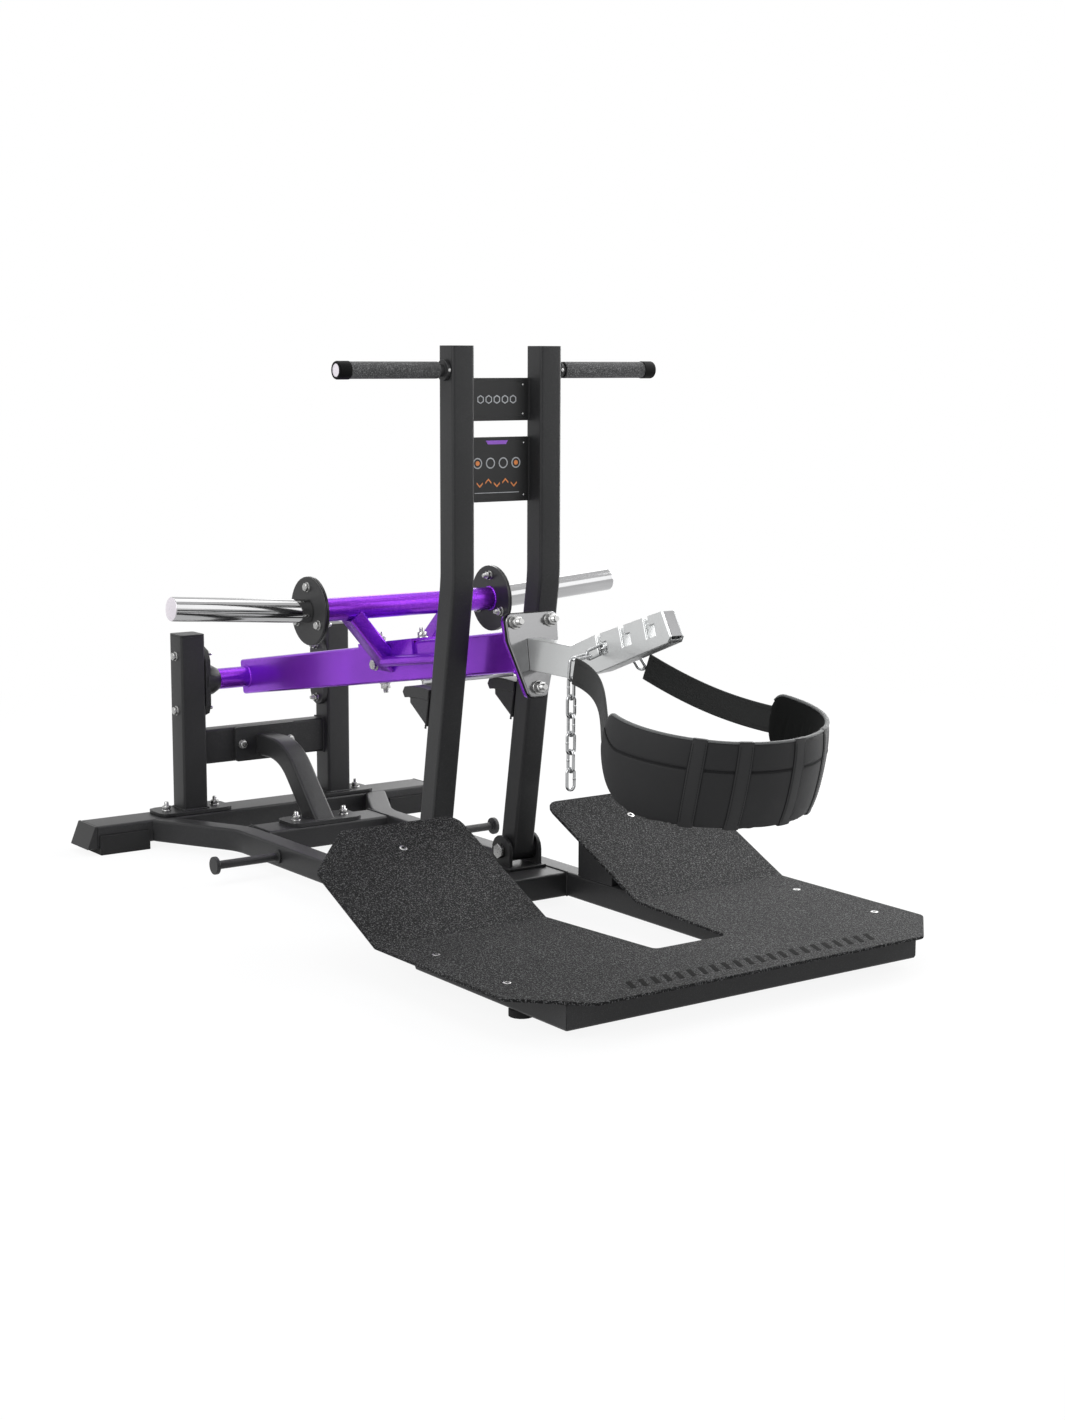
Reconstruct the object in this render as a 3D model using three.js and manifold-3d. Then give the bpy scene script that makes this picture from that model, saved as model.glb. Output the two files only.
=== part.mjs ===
import * as THREE from 'three';
import { mergeVertices } from 'three/addons/utils/BufferGeometryUtils.js';
import Module from 'manifold-3d';

const wasm = await Module();
wasm.setup();

// A plate-loaded belt squat machine, in millimetres.
// X runs across and Z up from the floor. Y runs to the pivot end, and is measured here from the
// deck's front edge: the last lines move the origin to the middle of the whole machine's length.

// Shared sizes
const clearance = 0.3;
const overrun = 5;
const floorGap = 15;
const tube = { size: 50, wall: 3, corner: 6 };
const groundTop = floorGap + tube.size;
const groundMid = floorGap + tube.size / 2;
const arcSteps = { corner: 2, outline: 4, bend: 8 };
const sides = { hexagon: 6, small: 16, round: 24, disc: 36 };

// Standing platform
const deck = {
  halfWidth: 478, thickness: 6, flatLength: 501, length: 804, rampDegrees: 25,
  chamfer: 110, chamferRound: 25, slotFront: 209, slotFrontHalf: 81, gapHalf: 106,
  slotRound: 10, gapRound: 28,
};
const platform = { frontFace: 45, overhang: 83, endInset: 1 };
const platformHalf = deck.halfWidth - platform.overhang;
const platformMid = platform.frontFace + tube.size / 2;
const rampSupport = { rearInset: 53, depth: 111, wall: 4 };
const levellingFoot = { radius: 22.5, rim: 3, y: 206 };

// Ground frame
const rail = { x: 178, bendY: 1541, bendRadius: 150, splayDegrees: 27.5 };
const rearBeam = { y: 1780, width: 90, halfLength: 440, wall: 3 };
const rearCap = { topReach: 6, bottomReach: 26 };
const rearFoot = { endInset: 4, length: 120, wrap: 6, height: 44 };
const middleBeam = { ahead: 262.5, width: 90 };
const middleY = rearBeam.y - middleBeam.ahead;
const hingeBeam = { ahead: 105, width: 150 };
const bandPeg = {
  y: 1344, end: 358, rodRadius: 9, discRadius: 19, discLength: 9, baseRadius: 15, baseLength: 5,
};

// Rear tower
const tower = { x: 189, size: 60, wall: 3, top: 474, cap: 5, plug: 15 };
const towerFoot = { length: 182, width: 86, thickness: 8, round: 20 };
const crossbar = { bottom: 170, height: 80, depth: 40 };
const brace = {
  rise: 36, cornerAhead: 130, bendRadius: 130, slopeDegrees: 47,
  plateHalf: 80, plateThickness: 8, footLength: 180,
};
const pivot = { drop: 110, shaftRadius: 15, shaftHalf: 152 };
const pivotZ = tower.top - pivot.drop;
const bearing = {
  height: 160, width: 60, flange: 12, hubRadius: 34, noseRadius: 26, noseLength: 28.7,
  boreSlack: 0.5, drop: 2,
};

// Handle frame, hinged at its foot
const hinge = {
  y: 893, z: 102, x: 102, barrelRadius: 24, barrelHalf: 30, earGap: 2, earThickness: 8,
  earRadius: 32, baseThickness: 6, baseDepth: 80, baseReach: 6,
  pinRadius: 10, pinSlack: 0.5, headRadius: 16, headLength: 7, nutLength: 8,
};
const frame = { forward: 90, bendZ: 670, top: 1116, bendRadius: 300, lid: 3 };
const frameY = hinge.y - frame.forward;
const sign = { setBack: 15, thickness: 8, drop: 61, height: 82 };
const placard = { gapAbove: 31, height: 125 };
const handle = {
  drop: 46, barRadius: 12.5, gripRadius: 16, gripGap: 19, length: 231, plug: 7,
  collarRadius: 20, collarLength: 8,
};
const catcher = {
  halfWidth: 25, padOverlap: 3, padThickness: 22, padReach: 59, nose: 7.3, footDrop: 76,
  gussetInset: 16,
};

// Lever
const lever = { size: 80, wall: 4, tiltDegrees: 9.2, rearOverhang: 22, plateThickness: 8 };
const tip = {
  front: 1106, thickness: 8, top: 72, bottom: -90, shoulder: 20,
  topHalf: 61, shoulderHalf: 58, bottomHalf: 21, round: 14, backReach: 2,
};
const pivotTube = { radius: 24, endGap: 1 };
const stopBar = { rear: 948, depth: 70, thickness: 8, half: 86 };
const horn = {
  y: 1160, z: 585.5, radius: 24, wall: 3, discRadius: 70, discThickness: 5, discInner: 218,
  end: 532, riseDegrees: 4.4,
};
const saddle = { frontReach: 110, rearReach: 100, thickness: 6, flange: 36 };
const leg = { depth: 50, width: 34, topX: 127, topDrop: 14, bottomX: 53.5, bottomDrop: 100.5 };

// Belt hook, level at its neck
const hook = {
  half: 16.5, wall: 5, neckBottom: 503, neckTop: 564, neckEnd: 552,
  riseY: 485, riseZ: 590, underY: 463, underZ: 525,
  tipTopY: 284, tipTopZ: 655, tipFrontY: 258, tipFrontZ: 612, tipUnderY: 264, tipUnderZ: 600,
};
const notch = {
  firstY: 476, pitch: 73, count: 3, entry: 13, depth: 39, footHeight: 21, footLength: 28,
  settle: 0.7,
};

// Belt and chain
const belt = {
  halfWidth: 197, halfDepth: 178, y: 147, rimZ: 498, rimSlope: 0.15, height: 150,
  thickness: 15, crown: 4, openDegrees: 110, rearShear: 0.25, endRound: 30,
  seamDrop: 48, seamDepth: 2, seamWidth: 7, rows: 8, rings: 44,
  endCrowdingShare: 0.2, endThicknessShare: 0.25,
};
const strap = { height: 50, thickness: 6, dropFromRim: 30, pullShare: 0.4, steps: 10 };
const chain = {
  wire: 6, width: 20, pitch: 35.5, fuse: 0.6, tailLinks: 6,
  sideRun: 59, sideForward: 8, sideDrops: [20, 90],
};

const radians = THREE.MathUtils.degToRad;
const axisX = new THREE.Vector3(1, 0, 0);
const axisY = new THREE.Vector3(0, 1, 0);
const axisZ = new THREE.Vector3(0, 0, 1);
const point = (x, y, z) => new THREE.Vector3(x, y, z);
const flat = (u, v) => new THREE.Vector2(u, v);

// Solids

function toSolid(geometry) {
  const bare = new THREE.BufferGeometry();
  bare.setAttribute('position', geometry.getAttribute('position'));
  bare.setIndex(geometry.getIndex());
  const merged = mergeVertices(bare);
  const index = merged.getIndex().array;
  const kept = [];
  for (let i = 0; i < index.length; i += 3) {
    const [a, b, c] = [index[i], index[i + 1], index[i + 2]];
    if (a !== b && b !== c && c !== a) kept.push(a, b, c);
  }
  return new wasm.Manifold(new wasm.Mesh({
    numProp: 3,
    vertProperties: merged.getAttribute('position').array,
    triVerts: new Uint32Array(kept),
  }));
}

function toGeometry(solid) {
  const mesh = solid.getMesh();
  const geometry = new THREE.BufferGeometry();
  geometry.setAttribute('position', new THREE.BufferAttribute(mesh.vertProperties, 3));
  geometry.setIndex(new THREE.BufferAttribute(mesh.triVerts, 1));
  geometry.computeVertexNormals();
  return geometry;
}

function join(first, ...others) {
  return toGeometry(others.reduce((sum, next) => sum.add(toSolid(next)), toSolid(first)));
}

function cut(base, ...cutters) {
  return toGeometry(cutters.reduce((rest, next) => rest.subtract(toSolid(next)), toSolid(base)));
}

function common(first, second) {
  return toGeometry(toSolid(first).intersect(toSolid(second)));
}

function box(low, high) {
  const [x, y, z] = high.map((value, i) => value - low[i]);
  const [midX, midY, midZ] = high.map((value, i) => (value + low[i]) / 2);
  return new THREE.BoxGeometry(x, y, z).translate(midX, midY, midZ);
}

// Outlines, as lists of 2-D points

function roundedOutline(corners, steps = arcSteps.outline) {
  const outline = [];
  corners.forEach(([u, v, radius], i) => {
    const corner = flat(u, v);
    if (!radius) {
      outline.push(corner);
      return;
    }
    const before = flat(...corners.at(i - 1)).sub(corner).normalize();
    const after = flat(...corners[(i + 1) % corners.length]).sub(corner).normalize();
    const half = Math.acos(before.dot(after)) / 2;
    const centre = before.clone().add(after).normalize();
    centre.multiplyScalar(radius / Math.sin(half)).add(corner);
    const start = before.clone().multiplyScalar(radius / Math.tan(half)).add(corner).sub(centre);
    const end = after.clone().multiplyScalar(radius / Math.tan(half)).add(corner).sub(centre);
    const turn = Math.atan2(start.cross(end), start.dot(end));
    for (let step = 0; step <= steps; step += 1) {
      const angle = start.angle() + turn * step / steps;
      outline.push(flat(Math.cos(angle), Math.sin(angle)).multiplyScalar(radius).add(centre));
    }
  });
  return outline;
}

function rectangle(width, height, radius, u = 0, v = 0) {
  const [w, h] = [width / 2, height / 2];
  const corners = [[-w, -h], [w, -h], [w, h], [-w, h]];
  return roundedOutline(corners.map(([a, b]) => [u + a, v + b, radius]), arcSteps.corner);
}

function circle(radius, count, u = 0, v = 0) {
  const outline = [];
  for (let i = 0; i < count; i += 1) {
    const angle = 2 * Math.PI * (i + 1 / 2) / count;
    outline.push(flat(u + radius * Math.cos(angle), v + radius * Math.sin(angle)));
  }
  return outline;
}

// Extrusions of an outline along one axis: X takes (y, z), Y takes (x, z) and Z takes (x, y)

const extrusionBasis = {
  x: new THREE.Matrix4().makeBasis(axisY, axisZ, axisX),
  y: new THREE.Matrix4().makeBasis(axisX, axisZ, axisY.clone().negate()),
  z: new THREE.Matrix4(),
};

function extrude(axis, outline, from, to, holes = []) {
  const shape = new THREE.Shape(outline);
  shape.holes = holes.map((hole) => new THREE.Path(hole));
  const geometry = new THREE.ExtrudeGeometry(shape, { depth: to - from, bevelEnabled: false });
  const shift = { x: [from, 0, 0], y: [0, to, 0], z: [0, 0, from] }[axis];
  return geometry.applyMatrix4(extrusionBasis[axis]).translate(...shift);
}

function hollowBar(axis, from, to, width, height, wall, u, v) {
  const outer = rectangle(width, height, tube.corner, u, v);
  const inner = rectangle(width - 2 * wall, height - 2 * wall, tube.corner - wall, u, v);
  return extrude(axis, outer, from, to, [inner]);
}

function rod(axis, radius, from, to, u, v, count = sides.round) {
  return extrude(axis, circle(radius, count, u, v), from, to);
}

function turnedAlongX(profile, side, y, z, count = sides.round) {
  const points = profile.map(([radius, x]) => flat(radius, x));
  const geometry = new THREE.LatheGeometry(points, count);
  return geometry.rotateZ(-side * Math.PI / 2).translate(0, y, z);
}

// Sweeps with one ring of the section at each chosen station

class StationPath extends THREE.Curve {
  constructor(stations) {
    super();
    this.stations = stations;
  }

  getPoint(share) {
    const place = share * (this.stations.length - 1);
    const index = Math.min(Math.floor(place), this.stations.length - 2);
    return this.stations[index].clone().lerp(this.stations[index + 1], place - index);
  }

  getPointAt(share) {
    return this.getPoint(share);
  }

  getTangentAt(share) {
    const last = this.stations.length - 1;
    const index = Math.round(share * last);
    const here = this.stations[index];
    const arriving = here.clone().sub(this.stations[Math.max(index - 1, 0)]).normalize();
    const leaving = this.stations[Math.min(index + 1, last)].clone().sub(here).normalize();
    return arriving.add(leaving).normalize();
  }
}

function sweep(outline, stations, holes = []) {
  const shape = new THREE.Shape(outline);
  shape.holes = holes.map((hole) => new THREE.Path(hole));
  return new THREE.ExtrudeGeometry(shape, {
    steps: stations.length - 1,
    bevelEnabled: false,
    extrudePath: new StationPath(stations),
  });
}

function bentPath(start, corner, end, radius, steps = arcSteps.bend) {
  const back = start.clone().sub(corner).normalize();
  const ahead = end.clone().sub(corner).normalize();
  const half = back.angleTo(ahead) / 2;
  const centre = back.clone().add(ahead).normalize();
  centre.multiplyScalar(radius / Math.sin(half)).add(corner);
  const spoke = back.clone().multiplyScalar(radius / Math.tan(half)).add(corner).sub(centre);
  const axis = ahead.clone().cross(back).normalize();
  const stations = [start];
  for (let step = 0; step <= steps; step += 1) {
    const angle = -(Math.PI - 2 * half) * step / steps;
    stations.push(spoke.clone().applyAxisAngle(axis, -angle).add(centre));
  }
  stations.push(end);
  return stations;
}

function reshape(geometry, move) {
  const position = geometry.getAttribute('position');
  const place = new THREE.Vector3();
  for (let i = 0; i < position.count; i += 1) {
    move(place.fromBufferAttribute(position, i));
    position.setXYZ(i, place.x, place.y, place.z);
  }
  geometry.computeVertexNormals();
  return geometry;
}

// Materials

const finish = {
  blackCoat: { color: 0x1b1b1c, roughness: 0.5, metalness: 0.3 },
  gripCoat: { color: 0x202122, roughness: 0.85, metalness: 0.1 },
  purpleCoat: { color: 0x5b1fb0, roughness: 0.35, metalness: 0.3 },
  chrome: { color: 0xd8d8da, roughness: 0.12, metalness: 1 },
  zinc: { color: 0xb9bbbd, roughness: 0.35, metalness: 0.9 },
  rubber: { color: 0x141414, roughness: 0.9, metalness: 0 },
  plastic: { color: 0x181818, roughness: 0.6, metalness: 0 },
  leather: { color: 0x1d1d1e, roughness: 0.75, metalness: 0 },
  webbing: { color: 0x232323, roughness: 0.95, metalness: 0 },
};

const machine = new THREE.Group();
const sections = {
  base: new THREE.Group(),
  handles: new THREE.Group(),
  lever: new THREE.Group(),
  belt: new THREE.Group(),
};
machine.add(...Object.values(sections));

function piece(section, name, geometry, look) {
  const mesh = new THREE.Mesh(geometry, new THREE.MeshStandardMaterial(finish[look]));
  mesh.name = name;
  sections[section].add(mesh);
  return mesh;
}

function forEachSide(build) {
  build(-1, 'left');
  build(1, 'right');
}

function spanX(side, inner, outer) {
  return side > 0 ? [inner, outer] : [-outer, -inner];
}

// Ground frame

function railPath(side) {
  const splay = radians(rail.splayDegrees);
  const start = point(side * rail.x, platform.frontFace + tube.size + clearance, groundMid);
  const corner = point(side * rail.x, rail.bendY, groundMid);
  const reach = rearBeam.y - rail.bendY;
  const end = corner.clone().add(point(side * reach * Math.tan(splay), reach, 0));
  return bentPath(start, corner, end, rail.bendRadius);
}

function railEnvelope(side) {
  const size = tube.size + 2 * clearance;
  return sweep(rectangle(size, size, 0), railPath(side));
}

function buildGroundFrame() {
  const beamFront = rearBeam.y - rearBeam.width / 2;
  const beamRear = rearBeam.y + rearBeam.width / 2;
  const innerReach = rail.x - tube.size / 2 - clearance;

  piece('base', 'rear_beam', hollowBar('x', -rearBeam.halfLength, rearBeam.halfLength,
    rearBeam.width, tube.size, rearBeam.wall, rearBeam.y, groundMid), 'blackCoat');

  const hingeMid = hinge.y - hingeBeam.ahead + hingeBeam.width / 2;
  piece('base', 'hinge_cross_beam', hollowBar('x', -innerReach, innerReach,
    hingeBeam.width, tube.size, tube.wall, hingeMid, groundMid), 'blackCoat');

  const middle = hollowBar('x', -rail.x, rail.x, middleBeam.width, tube.size, tube.wall,
    middleY, groundMid);
  piece('base', 'middle_cross_beam', cut(middle, railEnvelope(-1), railEnvelope(1)), 'blackCoat');

  forEachSide((side, word) => {
    const boreSize = tube.size - 2 * tube.wall;
    const bore = rectangle(boreSize, boreSize, tube.corner - tube.wall);
    const bar = sweep(rectangle(tube.size, tube.size, tube.corner), railPath(side), [bore]);
    const behind = box([-rearBeam.halfLength, beamFront - clearance, 0],
      [rearBeam.halfLength, beamRear, groundTop + overrun]);
    piece('base', `side_rail_${word}`, cut(bar, behind), 'blackCoat');

    const inner = side * (rearBeam.halfLength + clearance);
    const capOutline = [
      flat(inner, floorGap),
      flat(side * (rearBeam.halfLength + rearCap.bottomReach), floorGap),
      flat(side * (rearBeam.halfLength + rearCap.topReach), groundTop),
      flat(inner, groundTop),
    ];
    piece('base', `rear_cap_${word}`, extrude('y', capOutline, beamFront, beamRear), 'plastic');

    const shoe = box([0, beamFront - rearFoot.wrap, 0],
      [rearFoot.length, beamRear + rearFoot.wrap, rearFoot.height]);
    const saddleCut = box([-overrun, beamFront - clearance, floorGap],
      [rearFoot.length + overrun, beamRear + clearance, rearFoot.height + overrun]);
    const shoeOuter = rearBeam.halfLength - rearFoot.endInset;
    const shoeStart = spanX(side, shoeOuter - rearFoot.length, shoeOuter)[0];
    piece('base', `rear_foot_${word}`, cut(shoe, saddleCut).translate(shoeStart, 0, 0), 'rubber');

    const pegStart = rail.x + tube.size / 2 + clearance;
    const baseEnd = pegStart + bandPeg.baseLength;
    const discStart = bandPeg.end - bandPeg.discLength;
    const pegProfile = [
      [0, pegStart], [bandPeg.baseRadius, pegStart], [bandPeg.baseRadius, baseEnd],
      [bandPeg.rodRadius, baseEnd], [bandPeg.rodRadius, discStart],
      [bandPeg.discRadius, discStart], [bandPeg.discRadius, bandPeg.end], [0, bandPeg.end],
    ];
    piece('base', `band_peg_${word}`, turnedAlongX(pegProfile, side, bandPeg.y, groundMid), 'blackCoat');
  });
}

// Standing platform

const rampSlope = Math.tan(radians(deck.rampDegrees));

function rampUnderside(y) {
  return groundTop + deck.thickness + (y - deck.flatLength) * rampSlope
    - deck.thickness / Math.cos(radians(deck.rampDegrees));
}

function buildDeck() {
  const top = groundTop + deck.thickness;
  const rampTop = top + (deck.length - deck.flatLength) * rampSlope;
  const kneeShift = deck.thickness * Math.tan(radians(deck.rampDegrees / 2));
  const side = [
    flat(0, groundTop), flat(deck.flatLength + kneeShift, groundTop),
    flat(deck.length, rampUnderside(deck.length)), flat(deck.length, rampTop),
    flat(deck.flatLength, top), flat(0, top),
  ];
  const rampChamfer = deck.chamfer * Math.cos(radians(deck.rampDegrees));
  const half = [
    [deck.halfWidth - deck.chamfer, 0, deck.chamferRound],
    [deck.halfWidth, deck.chamfer, deck.chamferRound],
    [deck.halfWidth, deck.length - rampChamfer, deck.chamferRound],
    [deck.halfWidth - deck.chamfer, deck.length, deck.chamferRound],
    [deck.gapHalf, deck.length, deck.gapRound],
    [deck.gapHalf, deck.flatLength, 0],
    [deck.slotFrontHalf, deck.slotFront, deck.slotRound],
  ];
  const mirrored = half.map(([x, y, radius]) => [-x, y, radius]).reverse();
  const plan = extrude('z', roundedOutline([...half, ...mirrored]), 0, rampTop + overrun);
  const sheet = extrude('x', side, -deck.halfWidth, deck.halfWidth);
  return common(sheet, plan);
}

function buildPlatform() {
  const frontBeam = hollowBar('x', -platformHalf, platformHalf, tube.size, tube.size, tube.wall,
    platformMid, groundMid);
  piece('base', 'platform_front_beam', reshape(frontBeam, (place) => {
    const mitre = platformHalf - (place.y - platform.frontFace);
    place.x = Math.sign(place.x) * (mitre - clearance);
  }), 'blackCoat');
  piece('base', 'foot_deck', buildDeck(), 'gripCoat');

  forEachSide((side, word) => {
    const x = side * (platformHalf - tube.size / 2);
    const sideBeam = hollowBar('y', platform.frontFace, deck.flatLength - platform.endInset,
      tube.size, tube.size, tube.wall, x, groundMid);
    piece('base', `platform_side_beam_${word}`, reshape(sideBeam, (place) => {
      const mitre = platform.frontFace + (platformHalf - Math.abs(place.x));
      if (place.y < platformMid) place.y = mitre + clearance;
    }), 'blackCoat');

    const foot = [
      [0, 0], [levellingFoot.radius, 0],
      [levellingFoot.radius, floorGap - levellingFoot.rim],
      [levellingFoot.radius - levellingFoot.rim, floorGap], [0, floorGap],
    ];
    const footSolid = new THREE.LatheGeometry(foot.map((pair) => flat(...pair)), sides.small);
    footSolid.rotateX(Math.PI / 2).translate(x, levellingFoot.y, 0);
    piece('base', `levelling_foot_${word}`, footSolid, 'rubber');

    const { wall } = rampSupport;
    const rear = deck.length - rampSupport.rearInset;
    const front = rear - rampSupport.depth;
    const shell = [
      flat(front, groundTop), flat(rear, groundTop),
      flat(rear, rampUnderside(rear) - clearance), flat(front, rampUnderside(front) - clearance),
    ];
    const hollow = [
      flat(front + wall, groundTop - overrun), flat(rear - wall, groundTop - overrun),
      flat(rear - wall, rampUnderside(rear - wall) - clearance - wall),
      flat(front + wall, rampUnderside(front + wall) - clearance - wall),
    ];
    const [near, far] = spanX(side, rail.x - tube.size / 2, rail.x + tube.size / 2);
    piece('base', `ramp_support_${word}`,
      cut(extrude('x', shell, near, far), extrude('x', hollow, near + wall, far - wall)), 'blackCoat');
  });
}

// Rear tower

const towerRear = rearBeam.y + tower.size / 2;
const bearingNose = tower.x - tower.size / 2 - clearance - bearing.flange - bearing.noseLength;

function buildBrace(plateTop) {
  const slope = radians(brace.slopeDegrees);
  const braceZ = crossbar.bottom + brace.rise;
  const plateRear = towerRear - crossbar.depth - clearance;
  const start = point(0, plateRear, braceZ);
  const corner = point(0, rearBeam.y - brace.cornerAhead, braceZ);
  const drop = braceZ - groundTop;
  const foot = corner.clone().add(point(0, -drop / Math.tan(slope), -drop));
  const stations = bentPath(start, corner, foot, brace.bendRadius);
  const below = foot.clone().sub(corner).normalize().multiplyScalar(tube.size).add(foot);
  const longStations = [point(0, plateRear + overrun, braceZ), ...stations.slice(1, -1), below];
  const bore = tube.size - 2 * tube.wall;
  const bar = sweep(rectangle(tube.size, tube.size, tube.corner), [...stations.slice(0, -1), below]);
  const inside = sweep(rectangle(bore, bore, tube.corner - tube.wall), longStations);
  const floorCut = box([-tube.size, middleY - brace.footLength, -tube.size],
    [tube.size, rearBeam.y, groundTop]);
  const crossbarMid = crossbar.bottom + crossbar.height / 2;
  const plateOutline = rectangle(2 * brace.plateHalf, crossbar.height, tube.corner, 0, crossbarMid);
  const plate = extrude('y', plateOutline, plateRear - brace.plateThickness, plateRear);
  const footOutline = rectangle(brace.footLength, towerFoot.width, towerFoot.round, 0, middleY);
  const footPlate = extrude('z', footOutline, groundTop, plateTop);
  return cut(join(cut(bar, floorCut), plate, footPlate), inside);
}

function buildTower() {
  const plateTop = groundTop + towerFoot.thickness;
  const inner = tower.x - tower.size / 2;
  piece('base', 'rear_crossbar', hollowBar('x', -(inner - clearance), inner - clearance,
    crossbar.depth, crossbar.height, tower.wall,
    towerRear - crossbar.depth / 2, crossbar.bottom + crossbar.height / 2), 'blackCoat');
  piece('base', 'brace', buildBrace(plateTop), 'blackCoat');

  forEachSide((side, word) => {
    const x = side * tower.x;
    const capBase = tower.top - tower.cap;
    piece('base', `rear_upright_${word}`, hollowBar('z', plateTop, capBase,
      tower.size, tower.size, tower.wall, x, rearBeam.y), 'blackCoat');
    const footOutline = rectangle(towerFoot.length, towerFoot.width, towerFoot.round, x, rearBeam.y);
    piece('base', `upright_foot_${word}`, extrude('z', footOutline, groundTop, plateTop), 'blackCoat');
    const plugSize = tower.size - 2 * (tower.wall + clearance);
    const plugOutline = rectangle(plugSize, plugSize, tube.corner - tower.wall, x, rearBeam.y);
    const plug = extrude('z', plugOutline, capBase - tower.plug, capBase + tower.cap / 2);
    const lidOutline = rectangle(tower.size, tower.size, tube.corner, x, rearBeam.y);
    const lid = extrude('z', lidOutline, capBase, tower.top);
    piece('base', `upright_cap_${word}`, join(lid, plug), 'plastic');

    const face = inner - clearance;
    const [near, far] = spanX(side, face - bearing.flange, face);
    const flangeOutline = rectangle(bearing.width, bearing.height, bearing.width / 2,
      rearBeam.y, pivotZ - bearing.drop);
    const flange = extrude('x', flangeOutline, near, far);
    const hub = turnedAlongX([
      [0, bearingNose], [bearing.noseRadius, bearingNose],
      [bearing.hubRadius, bearingNose + bearing.noseLength / 2],
      [bearing.hubRadius, face - bearing.flange / 2], [0, face - bearing.flange / 2],
    ], side, rearBeam.y, pivotZ);
    const [boreStart, boreEnd] = spanX(side, bearingNose - overrun, face + overrun);
    const boreRadius = pivot.shaftRadius + bearing.boreSlack;
    const bore = rod('x', boreRadius, boreStart, boreEnd, rearBeam.y, pivotZ);
    piece('base', `bearing_${word}`, cut(join(flange, hub), bore), 'blackCoat');
  });
}

// Hinge at the foot of the handle frame

function buildHinges() {
  forEachSide((side, word) => {
    const earInner = hinge.x - hinge.barrelHalf - hinge.earGap;
    const earOuter = hinge.x + hinge.barrelHalf + hinge.earGap;
    const [baseLow, baseHigh] = spanX(side, earInner - hinge.earThickness - hinge.baseReach,
      earOuter + hinge.earThickness + hinge.baseReach);
    const base = box([baseLow, hinge.y - hinge.baseDepth / 2, groundTop],
      [baseHigh, hinge.y + hinge.baseDepth / 2, groundTop + hinge.baseThickness]);
    const earOutline = roundedOutline([
      [hinge.y - hinge.earRadius, groundTop, 0], [hinge.y + hinge.earRadius, groundTop, 0],
      [hinge.y + hinge.earRadius, hinge.z + hinge.earRadius, hinge.earRadius],
      [hinge.y - hinge.earRadius, hinge.z + hinge.earRadius, hinge.earRadius],
    ]);
    const ears = [earInner - hinge.earThickness, earOuter].map((start) => {
      const [near, far] = spanX(side, start, start + hinge.earThickness);
      return extrude('x', earOutline, near, far);
    });
    const hole = rod('x', hinge.pinRadius + hinge.pinSlack, baseLow - overrun, baseHigh + overrun,
      hinge.y, hinge.z, sides.small);
    piece('base', `hinge_bracket_${word}`, cut(join(base, ...ears), hole), 'blackCoat');

    const nutFace = earInner - hinge.earThickness - clearance;
    const headFace = earOuter + hinge.earThickness + clearance;
    const [pinLow, pinHigh] = spanX(side, nutFace - hinge.nutLength, headFace + hinge.headLength / 2);
    const [headLow, headHigh] = spanX(side, headFace, headFace + hinge.headLength);
    const [nutLow, nutHigh] = spanX(side, nutFace - hinge.nutLength, nutFace);
    const pin = join(
      rod('x', hinge.pinRadius, pinLow, pinHigh, hinge.y, hinge.z, sides.small),
      rod('x', hinge.headRadius, headLow, headHigh, hinge.y, hinge.z, sides.hexagon),
      rod('x', hinge.headRadius, nutLow, nutHigh, hinge.y, hinge.z, sides.hexagon),
    );
    piece('base', `hinge_pin_${word}`, pin, 'zinc');
  });
}

// Handle frame

const frameLean = Math.atan2(frame.forward, frame.bendZ - hinge.z);

function uprightRearFace(z) {
  return hinge.y - (z - hinge.z) * Math.tan(frameLean) + tube.size / 2 / Math.cos(frameLean);
}

function frameUpright(side) {
  const x = side * hinge.x;
  const stations = (top) => bentPath(point(x, hinge.y, hinge.z), point(x, frameY, frame.bendZ),
    point(x, frameY, top), frame.bendRadius);
  const bore = tube.size - 2 * tube.wall;
  const outside = sweep(rectangle(tube.size, tube.size, tube.corner), stations(frame.top));
  const inside = sweep(rectangle(bore, bore, tube.corner - tube.wall), stations(frame.top - frame.lid));
  const [low, high] = spanX(side, hinge.x - hinge.barrelHalf, hinge.x + hinge.barrelHalf);
  const barrel = rod('x', hinge.barrelRadius, low, high, hinge.y, hinge.z);
  const hole = rod('x', hinge.pinRadius + hinge.pinSlack, low - overrun, high + overrun,
    hinge.y, hinge.z, sides.small);
  return cut(join(outside, barrel), inside, hole);
}

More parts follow.
